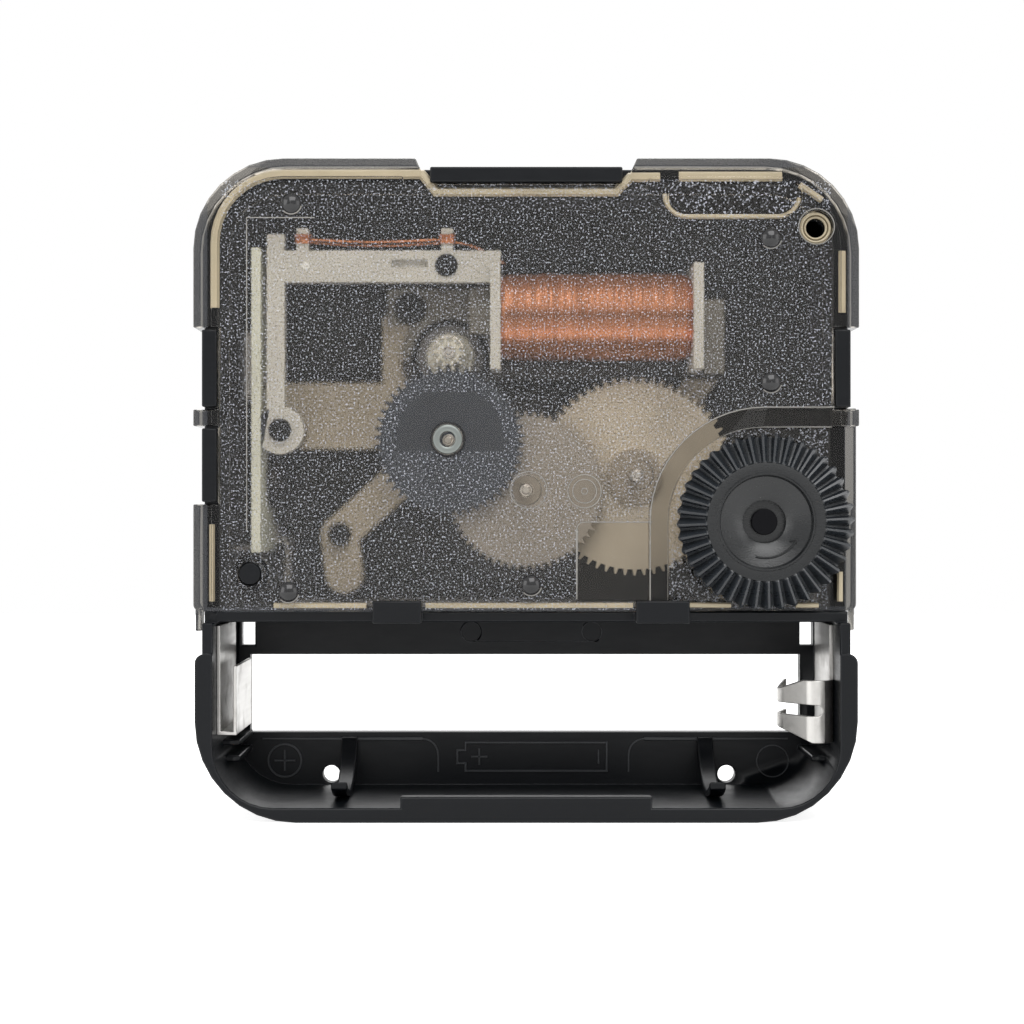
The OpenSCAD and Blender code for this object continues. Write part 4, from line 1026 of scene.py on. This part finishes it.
class MOVEMENT_OT_plates(bpy.types.Operator):
    """Middle plate, stators and coil core"""
    bl_idname = "movement.plates"
    bl_label = "Plates and core"

    def execute(self, context):
        works, metal = look_of(context, "works"), look_of(context, "metal")
        plate = moulded("plate_plastic", works.plate, 0.5, tone=0.35, edge_sheen=0.0, subsurface=0.1)
        dressed("middle_plate", "case", plate, "plate_plastic", PLATE_EDGE)
        iron = worked("core_iron", metal.iron, 0.38, tarnish=0.3)
        dressed("coil_core", "case", iron, "core_iron", IRON_EDGE)
        dressed("upper_stator", "case", iron, "core_iron", IRON_EDGE)
        black = moulded("collar_black", COLLAR_COLOUR, 0.4, tone=0.5, edge_sheen=0.1, shine=0.3)
        collar = lathed(COLLAR_PROFILE, 32, POST, stator_level())
        add_piece("post_collar", *collar, black, "case", "black_case")
        # Painted shade: the iron under the coil takes a darker copy of the core's finish
        shaded_iron = worked("stator_iron", metal.shaded_iron, 0.45, tarnish=0.3)
        dressed("lower_stator", "case", shaded_iron, "stator_iron", IRON_EDGE)
        return {"FINISHED"}


COIL_U, COIL_V, COIL_W, COIL_R, COIL_BORE = (-2.16, 14.24), 15.05, 9.4, 3.8, 2.1
# The winding's turns: room under the flange, depth between turns, how it wanders and rounds off at its ends
HEADROOM, TURN_DEPTH, WANDER, WANDER_KEPT, END_ROUND = 0.04, 0.045, 0.02, 0.8, 0.35


def winding_shape(turns):
    """The winding: rows of turns across u, a little uneven, with rounded ends."""
    rng = random.Random(7)
    length = COIL_U[1] - COIL_U[0]
    profile = [(COIL_BORE, 0.0)]
    wander = 0.0
    for i in range(turns + 1):
        wander = WANDER_KEPT * wander + rng.uniform(-WANDER, WANDER)
        share = i / turns
        end = min(share, 1 - share) * length
        radius = COIL_R - HEADROOM - END_ROUND * math.exp(-end / END_ROUND) + wander
        profile += [(radius - TURN_DEPTH, length * max(0.0, share - 0.3 / turns)), (radius, length * share)]
    profile.append((COIL_BORE, length))

    def place(r, s, angle):
        return at(COIL_U[0] + s, COIL_V + r * math.cos(angle), COIL_W + r * math.sin(angle))
    return turned(lambda k: profile, 72, place)


# The bobbin's arms between two levels, the pegs on them, and the pale mark of a pin
ARM_W = (10.8, 12.1)
PEGS = [(-19.1, 20.5), (-6.75, 20.5)]
PIN_MARK = (-18.8, 19.2)
PIN_PROFILE, PIN_COLOUR = [(0.02, -0.05), (0.02, 0.06), (0.34, 0.06), (0.42, -0.05)], (0.85, 0.85, 0.82)
# Wire round a peg: half its width along u and w, the height of the first turn, pitch, turns and squareness
PEG_HALF, PEG_RISE, PEG_PITCH, PEG_TURNS, PEG_POWER = (0.63, 0.78), 0.62, 0.16, 5, 0.35


def squared(value):
    """A sine or cosine carried outwards, so that the wire lies close to a square peg."""
    return math.copysign(abs(value) ** PEG_POWER, value)


def peg_turns(u, v):
    """Turns of fine wire round the peg at (u, v)."""
    middle_w = (ARM_W[0] + ARM_W[1]) / 2
    angles = [math.tau * i / 24 for i in range(24 * PEG_TURNS + 1)]
    points = [at(u + PEG_HALF[0] * squared(math.cos(a)), v + PEG_RISE + PEG_PITCH * a / math.tau,
                 middle_w + PEG_HALF[1] * squared(math.sin(a))) for a in angles]
    return tube(points, 0.075, 8)


def hanging_wire(start, end, sag, depth, radius):
    """Fine wire between two places that hangs down a little, so deep under the arms' face."""
    points = [at(start[0] + (end - start[0]) * t, start[1] - sag * math.sin(math.pi * t), ARM_W[1] - depth)
              for t in (i / 16 for i in range(17))]
    return tube(points, radius)


def lead_shape():
    """Fine wire: turns round each peg, two spans between the pegs, and the end that runs to the coil."""
    (u0, v0), (u1, v1) = PEGS
    run = [at(u1 + (COIL_U[0] + 0.3 - u1) * t, v1 + 0.8 - 1.75 * t * t, ARM_W[1] - 0.3 - 1.1 * t)
           for t in (i / 12 for i in range(13))]
    return joined(*(peg_turns(*peg) for peg in PEGS),
                  hanging_wire((u0, v0 + 1.0), u1, 0.25, 0.2, 0.09),
                  hanging_wire((u0 + 0.5, v0 + 0.75), u1, 0.3, 0.45, 0.07), tube(run, 0.08))


class MOVEMENT_OT_coil(bpy.types.Operator):
    """Bobbin, copper winding and its fine leads"""
    bl_idname = "movement.coil"
    bl_label = "Coil"

    def execute(self, context):
        look = look_of(context, "works")
        bobbin = moulded("bobbin_plastic", look.bobbin, 0.38, tone=0.12, edge_sheen=0.0, subsurface=0.15)
        dressed("coil_bobbin", "case", bobbin, "bobbin_plastic", PLATE_EDGE)
        white = moulded("pin_mark", PIN_COLOUR, 0.5, tone=0.1, edge_sheen=0.0)
        mark = lathed(PIN_PROFILE, 24, PIN_MARK, ARM_W[1])
        add_piece("pin_mark", *mark, white, "case", "bobbin_plastic")
        copper = copper_winding(look.copper)
        winding = add_piece("copper_winding", *winding_shape(look.turns), copper, "case", "copper_wire")
        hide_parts("coil_winding")
        wire_finish = worked("copper_wire", tuple(look.copper), 0.3, tarnish=0.1)
        leads = add_piece("copper_leads", *lead_shape(), wire_finish, "case", "copper_wire")
        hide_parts("coil_leads")
        return {"FINISHED"}


# The third wheel's hollow hub is painted darker, as painted shade: its radius, how much darker and its colour
HUB_R, HUB_SHADE_SHARE, HUB_SHADE_COLOUR = 2.35, 0.6, (0.16, 0.13, 0.10)
MAGNET_COLOUR = (0.20, 0.20, 0.21)


class MOVEMENT_OT_wheels(bpy.types.Operator):
    """Rotor, wheels and their arbors"""
    bl_idname = "movement.wheels"
    bl_label = "Wheels"

    def execute(self, context):
        works, metal = look_of(context, "works"), look_of(context, "metal")
        # The darker disc on the third wheel's hub is painted shade
        cream = moulded("cream_plastic", works.cream, 0.45, tone=0.3, edge_sheen=0.0, subsurface=0.1,
                        hub=(*axis_of("third_wheel"), HUB_R, HUB_SHADE_SHARE, HUB_SHADE_COLOUR))
        grey = moulded("grey_plastic", works.grey, 0.45, tone=0.3, edge_sheen=0.0, subsurface=0.1)
        blue = moulded("blue_grey_plastic", works.blue_grey, 0.35, tone=0.3, edge_sheen=0.0)
        pale = moulded("pale_plastic", works.pale, 0.35, tone=0.2, edge_sheen=0.0, subsurface=0.1)
        acetal = moulded("black_acetal", works.acetal, 0.4, tone=0.3, edge_sheen=0.03, shine=0.35)
        steel = worked("arbor_steel", metal.steel, 0.22, tarnish=0.1)
        magnet = worked("magnet", MAGNET_COLOUR, 0.5, tarnish=0.4)
        # Each node with its body, finish, slot and the rounding of its edges in millimetres
        for node, body, finish, slot, bevel in (
                ("third_wheel", "third", cream, "cream_plastic", 0.06),
                ("seconds_wheel", "seconds", grey, "pale_plastic", 0.05),
                ("intermediate_wheel", "intermediate", blue, "blue_grey_plastic", 0.04),
                ("rotor_pinion", "rotor", pale, "pale_plastic", 0.05),
                ("rotor_magnet", "rotor", magnet, "magnet", 0.1),
                ("centre_wheel", "centre", acetal, "black_acetal", 0.05),
                ("minute_wheel", "minute_wheel", acetal, "black_acetal", 0.05),
                ("hour_wheel", "hour", acetal, "black_acetal", 0.08),
                ("minute_shaft", "minute_shaft", acetal, "black_acetal", 0.08),
                ("seconds_arbor", "seconds", steel, "arbor_steel", 0.06),
                ("rotor_arbor", "rotor", steel, "arbor_steel", 0.05),
                ("intermediate_arbor", "intermediate", steel, "arbor_steel", 0.05),
                ("third_arbor", "third", steel, "arbor_steel", 0.05)):
            dressed(node, body, finish, slot, bevel)
        return {"FINISHED"}


BUSHING_R, BUSHING_BORE, BUSHING_L, THREAD_DEPTH = 4.0, 2.79, 6.0, 0.42
# The thread's chamfers at its nose and root, the bore's chamfer, and how much thinner the neck is
NOSE_CHAMFER, ROOT_CHAMFER, BORE_CHAMFER, NECK_CUT, NECK_CHAMFER = 0.45, 0.35, 0.2, 0.6, 0.1
THREAD_STEPS, THREAD_POWER = 12, 1.2


def bushing_shape(pitch):
    """Brass bushing with a cut thread, a chamfered nose and a plain neck in the plate."""
    steps = int(BUSHING_L / pitch * THREAD_STEPS)
    segments = 72
    neck_r = BUSHING_R - NECK_CUT
    neck = [(BUSHING_BORE, PLATE_TOP), (neck_r - NECK_CHAMFER, PLATE_TOP), (neck_r, PLATE_TOP - NECK_CHAMFER),
            (neck_r, 0.0)]
    nose = [(BUSHING_BORE + BORE_CHAMFER, -BUSHING_L), (BUSHING_BORE, -BUSHING_L + BORE_CHAMFER)]

    def profile(k):
        thread = []
        for i in range(steps + 1):
            depth = BUSHING_L * i / steps
            phase = (depth / pitch + k / segments) % 1.0
            groove = THREAD_DEPTH * (1 - abs(2 * phase - 1)) ** THREAD_POWER
            chamfer = max(0.0, NOSE_CHAMFER - (BUSHING_L - depth)) + max(0.0, ROOT_CHAMFER - depth)
            thread.append((BUSHING_R - max(groove, chamfer), -depth))
        return neck + thread + nose
    return turned(profile, segments, about_w((0, 0)))


class MOVEMENT_OT_bushing(bpy.types.Operator):
    """Threaded brass bushing on the dial side"""
    bl_idname = "movement.bushing"
    bl_label = "Threaded bushing"

    def execute(self, context):
        look = look_of(context, "metal")
        brass = worked("bushing_brass", look.brass, 0.24, streaks=2500.0, tarnish=0.12)
        bushing = add_piece("cut_bushing", *bushing_shape(look.pitch), brass, "case", "bushing_brass",
                            sharp=25)
        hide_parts("threaded_bushing")
        return {"FINISHED"}


# The setting knob

KNOB_T, KNOB_R, TOOTH_IN, RING_IN, DISH_R, SOCKET_R, SHAFT_R = 2.2, 7.45, 4.95, 4.0, 2.7, 1.8, 1.1
# How deep the groove is at each step from the middle of one tooth to the next, and its cut in the rim
GROOVE_FORM, RIM_CUT = (0.25, 0.0, 0.1, 0.9, 1.0, 0.7), 0.32
# The arrow: its radius and how deep it lies, its line, the start and end of the arc and the barbs in degrees
ARROW_R, ARROW_DROP, ARROW_WIDTH, ARROW_HEIGHT = 3.0, 0.76, 0.16, 0.13
ARROW_START, ARROW_END, ARROW_TIP = -106, -31, -29
BARBS = ((-0.5, -38), (0.45, -40))
# The shaft's near-black is painted shade deep in the knob's socket; the rounding of its edges
SHAFT_SHADE_COLOUR, SHAFT_EDGE = (0.002, 0.002, 0.003), 0.08


def knob_shape(teeth, depth):
    """Knob with a ring of bevelled grip teeth round a flat ring, a dish and a socket."""
    top = KNOB_T

    def profile(k):
        groove = GROOVE_FORM[k % len(GROOVE_FORM)]
        cut = depth * groove
        rim = KNOB_R - RIM_CUT * groove
        return [(SHAFT_R, 0.0), (rim - 0.35, 0.0), (rim - 0.05, 0.35), (rim, top - 0.62 - 0.8 * cut),
                (rim - 0.2, top - 0.4 - cut), (TOOTH_IN + 0.12, top - 0.02 - 0.45 * cut),
                (TOOTH_IN, top - 0.12), (TOOTH_IN - 0.1, top - 0.14), (RING_IN + 0.16, top - 0.14),
                (RING_IN + 0.06, top - 0.03), (RING_IN - 0.06, top - 0.03), (RING_IN - 0.2, top - 0.5),
                (DISH_R, top - 0.86), (SOCKET_R + 0.12, top - 1.2), (SOCKET_R, top - 1.3), (SOCKET_R, 0.25),
                (SHAFT_R, 0.25)]
    return turned(profile, teeth * len(GROOVE_FORM), about_w(axis_of("setting_knob"), KNOB_BASE))


def arrow_shape():
    """Raised arrow round the dish, showing which way the knob turns."""
    axis = axis_of("setting_knob")
    level = KNOB_BASE + KNOB_T - ARROW_DROP
    inner, outer = (polar(ARROW_R + out, math.radians(angle), axis) for out, angle in BARBS)
    tip = polar(ARROW_R, math.radians(ARROW_TIP), axis)
    lines = (arc(axis, ARROW_R, ARROW_START, ARROW_END, 16), [inner, tip, outer])
    return joined(*(raised_path(line, ARROW_WIDTH, ARROW_HEIGHT, level) for line in lines))


class MOVEMENT_OT_knob(bpy.types.Operator):
    """Toothed setting knob with its arrow, and the setting shaft under it"""
    bl_idname = "movement.knob"
    bl_label = "Setting knob"

    def execute(self, context):
        look = look_of(context, "knob")
        # Painted reflection: the teeth take the lighter colour, and the knob inside them keeps its own
        black = moulded("black_knob", look.teeth_sheen, 0.28, grain=6500.0, depth=0.3, tone=0.5, edge_sheen=0.15,
                        shine=0.5, hub=(*axis_of("setting_knob"), TOOTH_IN + 0.05, 1.0, look.colour))
        knob = add_piece("grip_knob", *knob_shape(look.teeth, look.depth), black, "setting", "black_knob",
                         sharp=22)
        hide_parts("setting_knob")
        add_piece("knob_arrow", *arrow_shape(), black, "setting", "black_knob")
        # Painted shade: the shaft is drawn near-black where it sits deep in the socket
        acetal = moulded("shaft_in_shade", SHAFT_SHADE_COLOUR, 0.5, tone=0.3, edge_sheen=0.03, shine=0.1)
        dressed("setting_shaft", "setting", acetal, "black_acetal", SHAFT_EDGE)
        return {"FINISHED"}


# Board and contacts

RESIN_COLOUR, SOLDER_COLOUR = (0.012, 0.012, 0.014), (0.62, 0.62, 0.64)
# Rounding of the edges in millimetres: sheet and board, the resin's blob, and the can and the solder
THIN_EDGE, BLOB_EDGE, CAN_EDGE = 0.05, 0.25, 0.15


class MOVEMENT_OT_board(bpy.types.Operator):
    """Circuit board on edge, with its chip, crystal and solder joints"""
    bl_idname = "movement.board"
    bl_label = "Circuit board"

    def execute(self, context):
        look, metal = look_of(context, "works"), look_of(context, "metal")
        board = moulded("board", look.board, 0.55, grain=2500.0, depth=0.5, tone=0.3, edge_sheen=0.0)
        resin = moulded("chip_resin", RESIN_COLOUR, 0.16, tone=0.2, edge_sheen=0.0)
        dressed("circuit_board", "case", board, "board", THIN_EDGE)
        dressed("control_chip", "case", resin, "chip_resin", BLOB_EDGE, segments=4)
        can = worked("crystal_can", metal.steel, 0.25)
        dressed("quartz_crystal", "case", can, "contact_nickel", CAN_EDGE)
        solder = worked("solder", SOLDER_COLOUR, 0.35, tarnish=0.3)
        dressed("solder_joints", "case", solder, "solder", CAN_EDGE)
        return {"FINISHED"}


class MOVEMENT_OT_contacts(bpy.types.Operator):
    """Battery contacts and the strip between them"""
    bl_idname = "movement.contacts"
    bl_label = "Contacts"

    def execute(self, context):
        metal = look_of(context, "metal")
        nickel = worked("contact_nickel", metal.nickel, 0.24, streaks=2600.0, depth=0.25, tarnish=0.22)
        for node in ("positive_contact", "spring_contact", "return_strip"):
            dressed(node, "case", nickel, "contact_nickel", THIN_EDGE)
        return {"FINISHED"}


# The stage

# The floor's level in millimetres, half its side in metres, and its tones
FLOOR_Z, FLOOR_HALF, FLOOR_TONES, FLOOR_LIFT = -28.0, 0.3, (0.84, 0.88), 0.8
CAMERA_U, CAMERA_V = -1.2, -1.85
# Lamps as (name, place, size in metres, the setting of their power, their share of it)
LAMPS = [("key_above", (40, 300, 230), (0.34, 0.26), "key", 1.0),
         ("low_strip", (0, -240, 240), (0.3, 0.08), "fill", 0.5),
         ("fill_left", (-330, 90, 180), (0.22, 0.3), "fill", 1.0),
         ("fill_right", (330, 60, 160), (0.2, 0.3), "fill", 0.6),
         ("dial_side", (-60, 240, -280), (0.3, 0.3), "key", 0.8)]
LAMP_AIM = (0, 5, 0)


def seen_white(tree, bright, plain, output):
    """Plain white to the camera, to gloss and through clear plastic; its plain shader to other rays."""
    path = tree.nodes.new("ShaderNodeLightPath")
    seen = math_of(tree, "MAXIMUM", path.outputs["Is Camera Ray"], path.outputs["Is Glossy Ray"])
    seen = math_of(tree, "MAXIMUM", seen, path.outputs["Is Transmission Ray"])
    tree.links.new(mix_shaders(tree, seen, plain, bright), output.inputs["Surface"])


def pale_room(ambient):
    """A world that lights the piece evenly and shows white behind it."""
    world = bpy.data.worlds.new("pale_room")
    world.use_nodes = True
    tree = world.node_tree
    tree.nodes.clear()
    plain, bright = (tree.nodes.new("ShaderNodeBackground") for _ in range(2))
    plain.inputs["Strength"].default_value = ambient
    bright.inputs["Color"].default_value = (*WHITE, 1)
    seen_white(tree, bright.outputs[0], plain.outputs[0], tree.nodes.new("ShaderNodeOutputWorld"))
    return world


def pale_floor():
    """The floor's matt white, lifted a little where it is seen."""
    material, tree, surface, output = new_material("pale_floor")
    tone = ramp_of(tree, noise_of(tree, object_place(tree), FLOOR_SCALE, 4.0), 0.3, 0.7, *FLOOR_TONES)
    wire(tree, surface.inputs["Base Color"], combined(tree, tone))
    surface.inputs["Roughness"].default_value = 0.9
    surface.inputs["Specular IOR Level"].default_value = 0.1
    lifted = tree.nodes.new("ShaderNodeEmission")
    lifted.inputs["Strength"].default_value = FLOOR_LIFT
    both = tree.nodes.new("ShaderNodeAddShader")
    tree.links.new(surface.outputs[0], both.inputs[0])
    tree.links.new(lifted.outputs[0], both.inputs[1])
    seen_white(tree, both.outputs[0], surface.outputs[0], output)
    return material


def add_floor(scene):
    """A square floor under the movement."""
    mesh = bpy.data.meshes.new("floor")
    corners = ((-1, -1), (1, -1), (1, 1), (-1, 1))
    mesh.from_pydata([(x * FLOOR_HALF, y * FLOOR_HALF, FLOOR_Z * MM) for x, y in corners], [], [(0, 1, 2, 3)])
    mesh.materials.append(pale_floor())
    floor = bpy.data.objects.new("floor", mesh)
    scene.collection.objects.link(floor)


def add_lamp(scene, name, place, size, power):
    """A rectangular lamp that looks at the movement."""
    lamp = bpy.data.lights.new(name, "AREA")
    lamp.shape = "RECTANGLE"
    lamp.size, lamp.size_y = size
    lamp.energy = power
    holder = bpy.data.objects.new(name, lamp)
    scene.collection.objects.link(holder)
    holder.location = at(*place)
    holder.rotation_euler = (at(*LAMP_AIM) - at(*place)).to_track_quat("-Z", "Y").to_euler()


def add_camera(scene, lens, distance):
    """The camera that looks straight at the back, as the photograph's did."""
    camera = bpy.data.cameras.new("photo_view")
    camera.lens = lens
    camera.clip_start = 0.005
    holder = bpy.data.objects.new("photo_view", camera)
    scene.collection.objects.link(holder)
    holder.location = at(CAMERA_U, CAMERA_V, distance / MM)
    holder.rotation_euler = (math.radians(90), 0, math.radians(180))
    scene.camera = holder


class MOVEMENT_OT_stage(bpy.types.Operator):
    """Pale floor, soft light and the camera"""
    bl_idname = "movement.stage"
    bl_label = "Stage"

    def execute(self, context):
        look = look_of(context, "stage")
        scene = context.scene
        scene.world = pale_room(look.ambient)
        add_floor(scene)
        for name, place, size, setting, share in LAMPS:
            add_lamp(scene, name, place, size, getattr(look, setting) * share)
        add_camera(scene, look.lens, look.distance)
        scene.view_settings.view_transform = "Standard"
        return {"FINISHED"}


# Add-on

OPERATORS = [MOVEMENT_OT_case, MOVEMENT_OT_cover, MOVEMENT_OT_plates, MOVEMENT_OT_coil, MOVEMENT_OT_wheels,
             MOVEMENT_OT_bushing, MOVEMENT_OT_knob, MOVEMENT_OT_board, MOVEMENT_OT_contacts,
             MOVEMENT_OT_stage]


class MOVEMENT_PT_panel(bpy.types.Panel):
    """Lists the movement's looks and the steps that build it."""
    bl_idname = "MOVEMENT_PT_panel"
    bl_label = "Clock movement"
    bl_space_type = "VIEW_3D"
    bl_region_type = "UI"
    bl_category = "Clock movement"

    def draw(self, context):
        for name, look in LOOKS.items():
            box = self.layout.box()
            box.label(text=name.capitalize())
            for setting in look.__annotations__:
                box.prop(look_of(context, name), setting)
        for operator in OPERATORS:
            self.layout.operator(operator.bl_idname)


def register():
    """Adds the settings, the operators and the panel."""
    for look in LOOKS.values():
        bpy.utils.register_class(look)
    for name, look in LOOKS.items():
        setattr(bpy.types.Scene, "movement_" + name, PointerProperty(type=look))
    for item in (*OPERATORS, MOVEMENT_PT_panel):
        bpy.utils.register_class(item)


def unregister():
    """Takes them away again."""
    for item in (MOVEMENT_PT_panel, *reversed(OPERATORS)):
        bpy.utils.unregister_class(item)
    for name in LOOKS:
        delattr(bpy.types.Scene, "movement_" + name)
    for look in LOOKS.values():
        bpy.utils.unregister_class(look)


def main():
    """Builds the movement and its stage."""
    register()
    bpy.ops.movement.case()
    bpy.ops.movement.cover()
    bpy.ops.movement.plates()
    bpy.ops.movement.coil()
    bpy.ops.movement.wheels()
    bpy.ops.movement.bushing()
    bpy.ops.movement.knob()
    bpy.ops.movement.board()
    bpy.ops.movement.contacts()
    bpy.ops.movement.stage()


if __name__ == "__main__":
    main()
